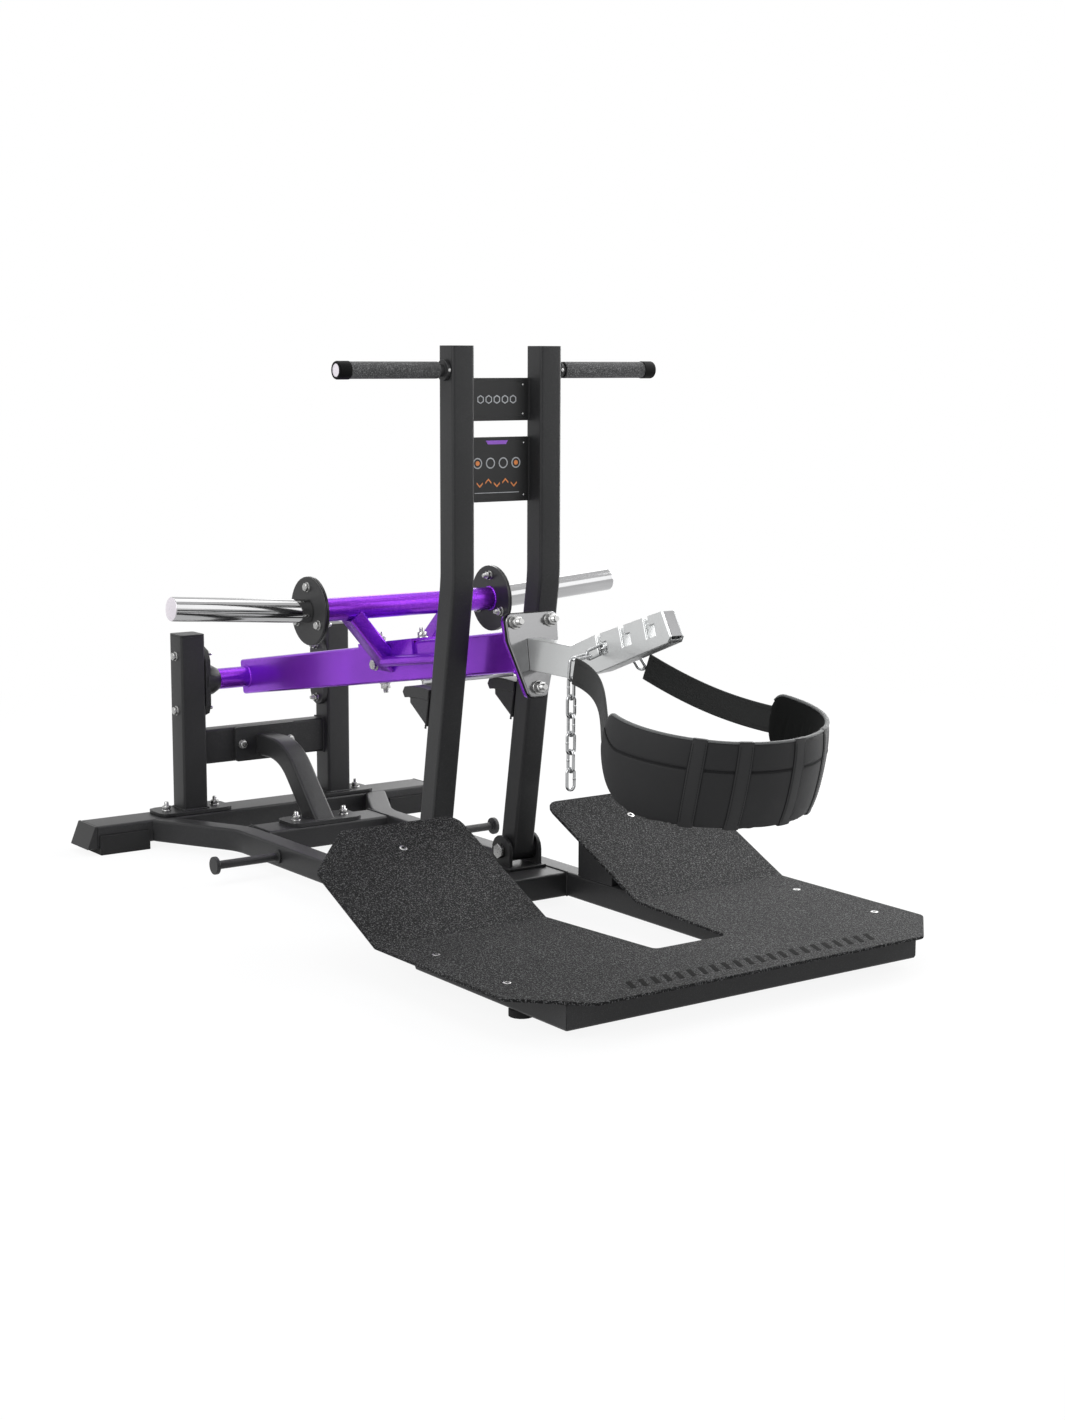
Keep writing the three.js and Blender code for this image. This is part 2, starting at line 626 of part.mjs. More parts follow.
// The pad's top is an arc about the hinge, so a tilt of the frame never lifts it
function catchSolid(side, padRadius) {
  const arcY = (y) => hinge.z + Math.sqrt(padRadius ** 2 - (y - hinge.y) ** 2);
  const crestZ = arcY(hinge.y);
  const heights = [crestZ, crestZ - catcher.padThickness];
  const padFront = heights.map((z) => uprightRearFace(z) + clearance);
  const padRear = hinge.y + catcher.padReach;
  const top = [];
  const bottom = [];
  for (let step = 0; step <= arcSteps.bend; step += 1) {
    const share = step / arcSteps.bend;
    const [y, under] = padFront.map((start) => start + (padRear - start) * share);
    top.push(flat(y, arcY(y)));
    bottom.unshift(flat(under, arcY(under) - catcher.padThickness));
  }
  const nose = flat(padRear + catcher.nose, arcY(padRear) - catcher.padThickness / 2);
  const padHalfWidth = catcher.halfWidth + catcher.padOverlap;
  const [padLow, padHigh] = spanX(side, hinge.x - padHalfWidth, hinge.x + padHalfWidth);
  const pad = extrude('x', [...top, nose, ...bottom], padLow, padHigh);
  const padMid = (y) => arcY(y) - catcher.padThickness / 2;
  const gussetFront = padFront[1];
  const gussetRear = padRear - catcher.gussetInset;
  const footZ = crestZ - catcher.footDrop;
  const gusset = [
    flat(uprightRearFace(footZ) + clearance, footZ),
    flat(gussetRear, padMid(gussetRear) - catcher.padThickness),
    flat(gussetRear, padMid(gussetRear)), flat(gussetFront, padMid(gussetFront)),
  ];
  const [low, high] = spanX(side, hinge.x - catcher.halfWidth, hinge.x + catcher.halfWidth);
  return join(pad, extrude('x', gusset, low, high));
}

function buildHandleFrame() {
  const inner = hinge.x - tube.size / 2 - clearance;
  const signFront = frameY + sign.setBack;
  const signTop = frame.top - sign.drop;
  const placardTop = signTop - sign.height - placard.gapAbove;
  const crossPlate = (top, height) => box([-inner, signFront, top - height],
    [inner, signFront + sign.thickness, top]);
  piece('handles', 'sign_plate', crossPlate(signTop, sign.height), 'blackCoat');
  piece('handles', 'placard_plate', crossPlate(placardTop, placard.height), 'blackCoat');

  forEachSide((side, word) => {
    piece('handles', `frame_upright_${word}`, frameUpright(side), 'blackCoat');
    const face = hinge.x + tube.size / 2 + clearance;
    const collarEnd = face + handle.collarLength;
    const barEnd = face + handle.length;
    const gripStart = face + handle.gripGap;
    const gripEnd = barEnd + handle.plug;
    const handleZ = frame.top - handle.drop;
    const bar = [
      [0, face], [handle.collarRadius, face], [handle.collarRadius, collarEnd],
      [handle.barRadius, collarEnd], [handle.barRadius, barEnd], [0, barEnd],
    ];
    piece('handles', `handle_bar_${word}`, turnedAlongX(bar, side, frameY, handleZ), 'blackCoat');
    const bore = handle.barRadius + clearance;
    const grip = [
      [0, barEnd + clearance], [bore, barEnd + clearance], [bore, gripStart],
      [handle.gripRadius, gripStart], [handle.gripRadius, gripEnd], [0, gripEnd],
    ];
    piece('handles', `grip_${word}`, turnedAlongX(grip, side, frameY, handleZ), 'rubber');
    piece('handles', `catch_${word}`, catchSolid(side, catchRadius), 'blackCoat');
  });
}

// Lever, in the arm's own frame: the pivot is the origin and the arm points along -Y

const tilt = radians(lever.tiltDegrees);
sections.arm = new THREE.Group();
sections.arm.position.set(0, rearBeam.y, pivotZ);
sections.arm.rotation.x = -tilt;
sections.lever.add(sections.arm);

function fromArm(y, z) {
  return flat(rearBeam.y + y * Math.cos(tilt) + z * Math.sin(tilt),
    pivotZ - y * Math.sin(tilt) + z * Math.cos(tilt));
}

function alongArm(worldY) {
  return (worldY - rearBeam.y) / Math.cos(tilt);
}

function tipOutline(grow) {
  const corners = [
    [tip.bottomHalf + grow, tip.bottom - grow / 2, tip.round],
    [tip.shoulderHalf + grow, tip.shoulder, tip.round],
    [tip.topHalf + grow, tip.top, tip.round],
  ];
  const mirrored = corners.map(([x, z, radius]) => [-x, z, radius]).reverse();
  return roundedOutline([...corners, ...mirrored]);
}

const tipBack = -tip.front + tip.thickness;
const stopTop = -lever.size / 2 - clearance;
const stopRear = (() => {
  const bottom = stopTop - stopBar.thickness;
  return (stopBar.rear - rearBeam.y - bottom * Math.sin(tilt)) / Math.cos(tilt);
})();
const stopEdge = fromArm(stopRear, stopTop - stopBar.thickness);
const catchRadius = Math.hypot(stopEdge.x - hinge.y, stopEdge.y - hinge.z) - clearance;

function buildArm() {
  const plateFront = tipBack + clearance;
  const bar = hollowBar('y', plateFront, lever.rearOverhang, lever.size, lever.size, lever.wall, 0, 0);
  const endPlate = extrude('y', tipOutline(tip.backReach), plateFront, plateFront + lever.plateThickness);
  const hole = rod('x', pivotTube.radius + clearance, -lever.size, lever.size, 0, 0);
  piece('arm', 'lever_arm', cut(join(bar, endPlate), hole), 'purpleCoat');
  piece('arm', 'tip_plate', extrude('y', tipOutline(0), -tip.front, tipBack), 'chrome');
  piece('arm', 'stop_bar', box([-stopBar.half, stopRear - stopBar.depth, stopTop - stopBar.thickness],
    [stopBar.half, stopRear, stopTop]), 'zinc');

  const shaftBore = circle(pivot.shaftRadius + clearance, sides.round);
  const tubeHalf = bearingNose - pivotTube.endGap;
  piece('arm', 'pivot_tube', extrude('x', circle(pivotTube.radius, sides.round),
    -tubeHalf, tubeHalf, [shaftBore]), 'purpleCoat');
  piece('arm', 'pivot_shaft', rod('x', pivot.shaftRadius, -pivot.shaftHalf, pivot.shaftHalf, 0, 0),
    'zinc');
}

// Weight horns on their frame

function hornLeg(side) {
  const foot = point(side * leg.bottomX, horn.y, horn.z - leg.bottomDrop);
  const head = point(side * leg.topX, horn.y, horn.z - leg.topDrop);
  const across = head.clone().sub(foot).normalize();
  const outline = rectangle(leg.depth, leg.width, tube.corner);
  const stretched = [foot.clone().addScaledVector(across, -leg.width), head];
  return sweep(outline, stretched);
}

function buildHornFrame() {
  const armMatrix = new THREE.Matrix4().makeRotationX(-tilt).setPosition(0, rearBeam.y, pivotZ);
  const inside = lever.size / 2 + clearance;
  const outside = inside + saddle.thickness;
  const front = alongArm(horn.y - saddle.frontReach);
  const rear = alongArm(horn.y + saddle.rearReach);
  const block = box([-outside, front, outside - saddle.flange], [outside, rear, outside]);
  const channel = box([-inside, front - overrun, -lever.size], [inside, rear + overrun, inside]);
  const cap = cut(block, channel).applyMatrix4(armMatrix);
  const armSpace = box([-inside, front - leg.depth, -lever.size], [inside, rear + leg.depth, inside]);
  armSpace.applyMatrix4(armMatrix);
  const flangeOuter = horn.discInner + horn.discThickness;
  const tubeEnd = horn.discInner + horn.discThickness / 2;
  const topTube = rod('x', horn.radius, -tubeEnd, tubeEnd, horn.y, horn.z);
  const flanges = [-1, 1].map((side) => {
    const [low, high] = spanX(side, horn.discInner, flangeOuter);
    return rod('x', horn.discRadius, low, high, horn.y, horn.z, sides.disc);
  });
  const legs = cut(join(hornLeg(-1), hornLeg(1)), armSpace);
  return join(topTube, ...flanges, cap, legs);
}

function buildHorns() {
  piece('lever', 'horn_frame', buildHornFrame(), 'purpleCoat');
  forEachSide((side, word) => {
    const discFace = horn.discInner + horn.discThickness + clearance;
    const hornFace = discFace + horn.discThickness;
    const [low, high] = spanX(side, discFace, hornFace);
    const disc = rod('x', horn.discRadius, low, high, horn.y, horn.z, sides.disc);
    piece('lever', `horn_disc_${word}`, disc, 'blackCoat');

    const rise = radians(horn.riseDegrees);
    const length = (horn.end - hornFace) / Math.cos(rise);
    const inner = horn.radius - horn.wall;
    const sleeve = [
      [0, length - horn.wall], [inner, length - horn.wall], [inner, -horn.radius],
      [horn.radius, -horn.radius], [horn.radius, length], [0, length],
    ];
    const bar = turnedAlongX(sleeve, side, 0, 0).rotateY(-side * rise);
    bar.translate(side * hornFace, horn.y, horn.z);
    const [cutLow, cutHigh] = spanX(side, 0, hornFace + clearance);
    const discSpace = box([cutLow, horn.y - horn.discRadius, horn.z - horn.discRadius],
      [cutHigh, horn.y + horn.discRadius, horn.z + horn.discRadius]);
    piece('lever', `horn_${word}`, cut(bar, discSpace), 'chrome');
  });
}

// Belt hook

const hookRise = Math.atan2(hook.tipTopZ - hook.riseZ, hook.riseY - hook.tipTopY);

function hookTop(y) {
  return hook.riseZ + (hook.riseY - y) * Math.tan(hookRise);
}

// A place beside a notch: ahead runs up the hook's top edge, down runs square into it
function notchPlace(index, ahead, down) {
  const y = notch.firstY - notch.pitch * Math.cos(hookRise) * index;
  return flat(y - ahead * Math.cos(hookRise) - down * Math.sin(hookRise),
    hookTop(y) + ahead * Math.sin(hookRise) - down * Math.cos(hookRise));
}

function buildHook() {
  const plateY = (z) => {
    const across = (-tip.front + (z - pivotZ) * Math.sin(tilt)) / Math.cos(tilt);
    return rearBeam.y + across - clearance;
  };
  const profile = [
    flat(plateY(hook.neckBottom), hook.neckBottom), flat(plateY(hook.neckTop), hook.neckTop),
    flat(hook.neckEnd, hook.neckTop), flat(hook.riseY, hook.riseZ), flat(hook.tipTopY, hook.tipTopZ),
    flat(hook.tipFrontY, hook.tipFrontZ), flat(hook.tipUnderY, hook.tipUnderZ),
    flat(hook.underY, hook.underZ), flat(hook.neckEnd, hook.neckBottom),
  ];
  const channel = [
    flat(plateY(hook.neckBottom) + overrun, hook.neckBottom + hook.wall),
    flat(plateY(hook.neckTop) + overrun, hook.neckTop - hook.wall),
    flat(hook.neckEnd, hook.neckTop - hook.wall), flat(hook.neckEnd, hook.tipTopZ + overrun),
    flat(hook.tipFrontY - hook.half, hook.tipTopZ + overrun),
    flat(hook.tipFrontY - hook.half, hook.tipFrontZ + hook.wall),
    flat(hook.tipUnderY, hook.tipUnderZ + hook.wall), flat(hook.underY, hook.underZ + hook.wall),
    flat(hook.neckEnd, hook.neckBottom + hook.wall),
  ];
  const bar = extrude('x', profile, -hook.half, hook.half);
  const inside = extrude('x', channel, -hook.half + hook.wall, hook.half - hook.wall);
  const notches = [];
  for (let i = 0; i < notch.count; i += 1) {
    const outline = [
      notchPlace(i, 0, -overrun), notchPlace(i, notch.entry, -overrun),
      notchPlace(i, notch.entry, notch.depth - notch.footHeight),
      notchPlace(i, notch.footLength, notch.depth - notch.footHeight),
      notchPlace(i, notch.footLength, notch.depth), notchPlace(i, 0, notch.depth),
    ];
    notches.push(extrude('x', outline, -hook.half - overrun, hook.half + overrun));
  }
  return cut(bar, inside, ...notches);
}

// Chain: oval links, each turned a quarter from the last and fused where the wires meet

const linkHalf = (chain.pitch + chain.wire - chain.fuse) / 2;
const linkRadius = (chain.width - chain.wire) / 2;
const linkSteps = { arc: 4, wire: 6 };

function linkSolid(centre, along, across) {
  const stations = [];
  const straight = linkHalf - linkRadius;
  [1, -1].forEach((end) => {
    for (let step = 0; step <= linkSteps.arc; step += 1) {
      const angle = Math.PI * (step / linkSteps.arc - 1 / 2);
      const u = end * (straight + linkRadius * Math.cos(angle));
      const v = end * linkRadius * Math.sin(angle);
      stations.push(centre.clone().addScaledVector(along, u).addScaledVector(across, v));
    }
  });
  const normal = along.clone().cross(across).normalize();
  const positions = [];
  stations.forEach((station, i) => {
    const before = stations.at(i - 1);
    const after = stations[(i + 1) % stations.length];
    const outward = after.clone().sub(before).normalize().cross(normal);
    for (let k = 0; k < linkSteps.wire; k += 1) {
      const angle = -2 * Math.PI * k / linkSteps.wire;
      const radius = chain.wire / 2;
      positions.push(...station.clone().addScaledVector(outward, radius * Math.cos(angle))
        .addScaledVector(normal, radius * Math.sin(angle)).toArray());
    }
  });
  return ringSolid(positions, stations.length, linkSteps.wire, true);
}

// A solid from rings of points; closed rings join the last to the first, open ones get end caps
function ringSolid(positions, rings, perRing, closed) {
  const index = [];
  const spans = closed ? rings : rings - 1;
  for (let ring = 0; ring < spans; ring += 1) {
    const [here, next] = [ring * perRing, ((ring + 1) % rings) * perRing];
    for (let k = 0; k < perRing; k += 1) {
      const other = (k + 1) % perRing;
      index.push(here + k, here + other, next + k, here + other, next + other, next + k);
    }
  }
  if (!closed) {
    const last = (rings - 1) * perRing;
    for (let k = 1; k < perRing - 1; k += 1) {
      index.push(0, k + 1, k);
      index.push(last, last + k, last + k + 1);
    }
  }
  const geometry = new THREE.BufferGeometry();
  geometry.setAttribute('position', new THREE.BufferAttribute(new Float32Array(positions), 3));
  geometry.setIndex(index);
  geometry.computeVertexNormals();
  return geometry;
}

const chainHold = (() => {
  const place = notchPlace(0, notch.footLength / 2, notch.depth - notch.footHeight / 2 + notch.settle);
  return point(0, place.x, place.y);
})();

// The links from the hook to a strap's end, first to last
function sideLinks(side) {
  const joint = point(side * chain.pitch / 2, chainHold.y, chainHold.z);
  return chain.sideDrops.map((drop) => {
    const along = point(side * chain.sideRun, -chain.sideForward, -drop).normalize();
    const centre = joint.clone().addScaledVector(along, chain.pitch / 2);
    joint.addScaledVector(along, chain.pitch);
    return { centre, along };
  });
}

function rimZ(y) {
  return belt.rimZ + belt.rimSlope * (y - belt.y);
}

function padPlace(degrees) {
  const angle = radians(degrees);
  return flat(belt.halfWidth * Math.sin(angle), belt.y - belt.halfDepth * Math.cos(angle));
}

function padEnd(side) {
  const end = padPlace(belt.openDegrees);
  return point(side * end.x, end.y, rimZ(end.y) - strap.dropFromRim - strap.height / 2);
}

function strapDirection(side) {
  return padEnd(side).sub(sideLinks(side).at(-1).centre).setZ(0).normalize();
}

function buildChain() {
  const slope = point(0, -Math.cos(hookRise), Math.sin(hookRise));
  const links = [linkSolid(chainHold, axisX, slope)];
  [-1, 1].forEach((side) => {
    sideLinks(side).reverse().forEach(({ centre, along }, fromStrap) => {
      const across = strapDirection(side).projectOnPlane(along).normalize();
      if (fromStrap % 2) across.cross(along);
      links.push(linkSolid(centre, along, across));
    });
  });
  const { centre: lastCentre, along: lastAlong } = sideLinks(-1).at(-1);
  const farSide = strapDirection(-1).projectOnPlane(lastAlong).normalize().negate();
  const hang = lastCentre.addScaledVector(lastAlong, linkHalf - linkRadius);
  hang.addScaledVector(farSide, linkRadius);
  const tailAcross = axisZ.clone().cross(lastAlong).normalize();
  for (let i = 0; i < chain.tailLinks; i += 1) {
    const centre = hang.clone().setZ(hang.z + chain.wire - chain.fuse - linkHalf - chain.pitch * i);
    links.push(linkSolid(centre, axisZ, tailAcross.clone()));
    tailAcross.cross(axisZ);
  }
  return join(...links);
}

// Belt pad: a curved cushion with a crown, drawn-in edges and one sewn channel

function padSection(share) {
  const { rows } = belt;
  const half = belt.height / 2;
  const outer = [];
  const inner = [];
  for (let row = 0; row <= rows; row += 1) {
    const v = -half * Math.cos(Math.PI * row / rows);
    const edge = Math.sqrt(Math.max(0, 1 - (v / half) ** 4));
    const seam = half - belt.seamDrop - v;
    const channel = belt.seamDepth * Math.exp(-((seam / belt.seamWidth) ** 2));
    const crown = belt.crown * (1 - (v / half) ** 2);
    outer.push([v, (belt.thickness / 2 + crown - channel) * edge]);
    if (row > 0 && row < rows) inner.unshift([v, -(belt.thickness / 2) * edge]);
  }
  const thinning = Math.min(1, share + belt.endThicknessShare);
  return [...outer, ...inner].map(([v, n]) => [v * share, n * thinning]);
}

function buildPad() {
  const { rings } = belt;
  const arcLength = belt.halfWidth * radians(belt.openDegrees);
  const positions = [];
  let perRing = 0;
  for (let i = 0; i <= rings; i += 1) {
    const even = 1 - 2 * i / rings;
    const spread = even + belt.endCrowdingShare * (Math.sin(Math.PI * even / 2) - even);
    const degrees = spread * belt.openDegrees;
    const fromEnd = arcLength * (1 - Math.abs(spread));
    const inset = Math.max(0, 1 - fromEnd / belt.endRound);
    const share = 1 - (belt.endRound / (belt.height / 2)) * (1 - Math.sqrt(1 - inset ** 2));
    const place = padPlace(degrees);
    const angle = radians(degrees);
    const normal = flat(Math.sin(angle) * belt.halfDepth, -Math.cos(angle) * belt.halfWidth);
    normal.normalize();
    const midZ = rimZ(place.y) - belt.height / 2;
    const section = padSection(share);
    perRing = section.length;
    section.forEach(([v, n]) => {
      const down = belt.height / 2 - v;
      positions.push(place.x + normal.x * n, place.y + normal.y * n + belt.rearShear * down, midZ + v);
    });
  }
  return ringSolid(positions, rings + 1, perRing, false);
}

const strapCorners = [[-1, -1], [1, -1], [1, 1], [-1, 1]];

function buildStrap(side) {
  const leaving = strapDirection(side);
  const lastLink = sideLinks(side).at(-1);
  const arcCentre = lastLink.centre.addScaledVector(lastLink.along, linkHalf - linkRadius);
  const start = arcCentre.addScaledVector(leaving, chain.width / 2 + clearance);
  const end = radians(belt.openDegrees);
  const padTangent = point(side * belt.halfWidth * Math.cos(end), belt.halfDepth * Math.sin(end), 0);
  padTangent.normalize();
  const finish = padEnd(side).addScaledVector(padTangent, clearance);
  finish.y += belt.rearShear * (strap.dropFromRim + strap.height / 2);
  const pull = finish.distanceTo(start) * strap.pullShare;
  const route = new THREE.CubicBezierCurve3(start, start.clone().addScaledVector(leaving, pull),
    finish.clone().addScaledVector(padTangent, pull), finish);
  const positions = [];
  for (let i = 0; i <= strap.steps; i += 1) {
    const share = i / strap.steps;
    const run = route.getTangent(share).setZ(0).normalize();
    const across = point(-run.y, run.x, 0).multiplyScalar(strap.thickness / 2);
    const upright = point(0, -belt.rearShear * share, 1).multiplyScalar(strap.height / 2);
    strapCorners.forEach(([n, v]) => {
      const corner = route.getPoint(share).addScaledVector(across, n).addScaledVector(upright, v);
      positions.push(...corner.toArray());
    });
  }
  return ringSolid(positions, strap.steps + 1, strapCorners.length, false);
}

function buildBelt() {
  piece('lever', 'hook_bracket', buildHook(), 'zinc');
  piece('belt', 'belt_chain', buildChain(), 'zinc');
  piece('belt', 'belt_pad', buildPad(), 'leather');
  forEachSide((side, word) => piece('belt', `belt_strap_${word}`, buildStrap(side), 'webbing'));
}

buildGroundFrame();
buildPlatform();
buildTower();
buildHinges();
buildHandleFrame();
buildArm();
buildHorns();
buildBelt();

const bounds = new THREE.Box3().setFromObject(machine);
machine.position.y = -(bounds.min.y + bounds.max.y) / 2;

export default machine;
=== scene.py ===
import math
import bmesh
import bpy
from mathutils import Matrix, Quaternion, Vector


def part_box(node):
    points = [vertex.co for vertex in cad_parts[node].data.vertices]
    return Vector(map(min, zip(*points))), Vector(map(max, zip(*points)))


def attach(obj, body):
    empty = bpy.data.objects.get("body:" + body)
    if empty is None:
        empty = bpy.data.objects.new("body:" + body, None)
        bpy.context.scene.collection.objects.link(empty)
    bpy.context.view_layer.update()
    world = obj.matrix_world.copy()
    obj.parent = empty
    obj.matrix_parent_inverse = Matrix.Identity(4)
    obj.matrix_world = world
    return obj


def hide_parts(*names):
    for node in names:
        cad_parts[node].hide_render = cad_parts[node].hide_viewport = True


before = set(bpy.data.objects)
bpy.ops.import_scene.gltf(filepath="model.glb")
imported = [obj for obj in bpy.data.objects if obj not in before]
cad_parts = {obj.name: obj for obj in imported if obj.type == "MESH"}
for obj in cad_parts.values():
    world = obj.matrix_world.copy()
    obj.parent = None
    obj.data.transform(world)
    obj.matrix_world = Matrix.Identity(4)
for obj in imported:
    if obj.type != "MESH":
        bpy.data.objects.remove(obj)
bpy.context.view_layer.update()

# A plate-loaded belt squat machine. Blender's metres are used throughout, but places are
# written in millimetres from the deck's front edge, the machine's middle and the floor.
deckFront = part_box("foot_deck")[0].y
print("frame loaded with", len(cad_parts), "nodes")


def at(x, y, z):
    return Vector((x / 1000, deckFront + y / 1000, z / 1000))


def mm(value):
    return value / 1000


lever = {"pivotY": 1780, "pivotZ": 364, "tiltDegrees": 9.2, "size": 80}


def onArm(x, y, z):  # y runs back from the pivot, z square to the arm's top
    turn = math.radians(lever["tiltDegrees"])
    return at(x, lever["pivotY"] + y * math.cos(turn) + z * math.sin(turn),
              lever["pivotZ"] - y * math.sin(turn) + z * math.cos(turn))


def alongArm(worldY):
    return (worldY - lever["pivotY"]) / math.cos(math.radians(lever["tiltDegrees"]))


armUp = (onArm(0, 0, 1) - onArm(0, 0, 0)).normalized()
armFront = (onArm(0, -1, 0) - onArm(0, 0, 0)).normalized()

# Camera, floor and light. The yaw turns right from the machine's long axis.
cameraValues = {
    "place": (-2456.9, -2751.4, 1094.6), "yawDegrees": 35.4796, "pitchDegrees": 9.0097,
    "rollDegrees": 0.1693, "lens": 56.42, "sensor": 36,
}


def makeCamera(values):
    yaw, pitch, roll = (math.radians(values[k]) for k in ("yawDegrees", "pitchDegrees", "rollDegrees"))
    ahead = Vector((math.sin(yaw) * math.cos(pitch), math.cos(yaw) * math.cos(pitch), -math.sin(pitch)))
    level = Vector((math.cos(yaw), -math.sin(yaw), 0))
    upright = level.cross(ahead)
    right = level * math.cos(roll) + upright * math.sin(roll)
    up = upright * math.cos(roll) - level * math.sin(roll)
    camera = bpy.data.objects.new("camera", bpy.data.cameras.new("camera"))
    camera.data.sensor_fit = "VERTICAL"
    camera.data.sensor_height = values["sensor"]
    camera.data.lens = values["lens"]
    camera.data.clip_end = 100
    camera.matrix_world = Matrix.Translation(at(*values["place"])) @ Matrix(
        (right, up, -ahead)).transposed().to_4x4()
    bpy.context.scene.collection.objects.link(camera)
    bpy.context.scene.camera = camera


makeCamera(cameraValues)


def addNode(tree, kind, inputs=None, **settings):
    node = tree.nodes.new("ShaderNode" + kind)
    for key, value in settings.items():
        setattr(node, key, value)
    for key, value in (inputs or {}).items():
        if isinstance(value, bpy.types.NodeSocket):
            tree.links.new(value, node.inputs[key])
        else:
            node.inputs[key].default_value = value
    return node


def maths(tree, operation, first, second=0.0, clamp=False):
    return addNode(tree, "Math", {0: first, 1: second}, operation=operation, use_clamp=clamp).outputs[0]


def mixColours(tree, factor, first, second, blend="MIX"):
    node = addNode(tree, "Mix", {0: factor, 6: first, 7: second}, data_type="RGBA", blend_type=blend)
    return node.outputs[2]


def ramp(tree, factor, low, high, toLow=0.0, toHigh=1.0):
    node = addNode(tree, "MapRange", {"Value": factor, "From Min": low, "From Max": high,
                                      "To Min": toLow, "To Max": toHigh})
    return node.outputs["Result"]


floorValues = {"size": 60, "nearShare": 0.9, "clearRadius": 1.4, "whiteRadius": 3.2,
               "colour": (0.84, 0.84, 0.84, 1)}


def makeFloor(values):
    mesh = bpy.data.meshes.new("studio_floor")
    half = values["size"] / 2
    mesh.from_pydata([(-half, -half, 0), (half, -half, 0), (half, half, 0), (-half, half, 0)],
                     [], [(0, 1, 2, 3)])
    floor = bpy.data.objects.new("studio_floor", mesh)
    bpy.context.scene.collection.objects.link(floor)
    material = bpy.data.materials.new("studioFloor")
    material.use_nodes = True
    tree = material.node_tree
    tree.nodes.clear()
    place = addNode(tree, "TexCoord").outputs["Object"]
    reach = addNode(tree, "VectorMath", {0: place}, operation="LENGTH").outputs["Value"]
    white = ramp(tree, reach, values["clearRadius"], values["whiteRadius"], values["nearShare"], 1.0)
    paths = addNode(tree, "LightPath")
    seen = maths(tree, "ADD", paths.outputs["Is Camera Ray"], paths.outputs["Is Glossy Ray"], clamp=True)
    seen = maths(tree, "ADD", seen, paths.outputs["Is Transmission Ray"], clamp=True)
    share = maths(tree, "MULTIPLY", white, seen)
    painted = addNode(tree, "BsdfDiffuse", {"Color": values["colour"]})
    glow = addNode(tree, "Emission", {"Color": (1, 1, 1, 1), "Strength": 1.0})
    mixed = addNode(tree, "MixShader", {0: share, 1: painted.outputs[0], 2: glow.outputs[0]})
    addNode(tree, "OutputMaterial", {"Surface": mixed.outputs[0]})
    mesh.materials.append(material)


makeFloor(floorValues)

worldValues = {"fill": (0.92, 0.95, 1.0, 1), "fillStrength": 0.5}


def makeWorld(values):
    world = bpy.data.worlds.new("studio")
    bpy.context.scene.world = world
    world.use_nodes = True
    tree = world.node_tree
    tree.nodes.clear()
    paths = addNode(tree, "LightPath")
    seen = maths(tree, "ADD", paths.outputs["Is Camera Ray"], paths.outputs["Is Glossy Ray"], clamp=True)
    seen = maths(tree, "ADD", seen, paths.outputs["Is Transmission Ray"], clamp=True)
    fill = addNode(tree, "Background", {"Color": values["fill"], "Strength": values["fillStrength"]})
    white = addNode(tree, "Background", {"Color": (1, 1, 1, 1), "Strength": 1.0})
    mixed = addNode(tree, "MixShader", {0: seen, 1: fill.outputs[0], 2: white.outputs[0]})
    addNode(tree, "OutputWorld", {"Surface": mixed.outputs[0]})


makeWorld(worldValues)

lamps = {
    "lamp_left": {"place": (-4.2, -0.9, 2.7), "power": 150, "size": 3.6},
    "lamp_right": {"place": (2.8, -4.0, 2.8), "power": 40, "size": 3.6},
    "lamp_top": {"place": (0.2, 0.9, 4.2), "power": 70, "size": 4.0},
    "lamp_rear": {"place": (3.1, 3.2, 2.0), "power": 45, "size": 2.8},
    "lamp_side": {"place": (2.9, 0.0, 1.7), "power": 150, "size": 3.2},
}


def makeLamps(values):
    for name, lamp in values.items():
        data = bpy.data.lights.new(name, "AREA")
        data.energy = lamp["power"]
        data.shape = "DISK"
        data.size = lamp["size"]
        light = bpy.data.objects.new(name, data)
        light.location = lamp["place"]
        light.visible_camera = False
        towards = Vector((0, 0, 0.4)) - light.location
        light.rotation_euler = towards.to_track_quat("-Z", "Y").to_euler()
        bpy.context.scene.collection.objects.link(light)


makeLamps(lamps)
bpy.context.scene.view_settings.view_transform = "Standard"
print("camera, floor and lamps are in place")


# Shader node groups: grain, worn edges, weave and scuffs
def newGroup(name, inputs, outputs):
    tree = bpy.data.node_groups.new(name, "ShaderNodeTree")
    for label, kind, value in inputs:
        socket = tree.interface.new_socket(label, in_out="INPUT", socket_type="NodeSocket" + kind)
        socket.default_value = value
    for label, kind in outputs:
        tree.interface.new_socket(label, in_out="OUTPUT", socket_type="NodeSocket" + kind)
    entry = tree.nodes.new("NodeGroupInput")
    leave = tree.nodes.new("NodeGroupOutput")
    return tree, entry.outputs, leave.inputs


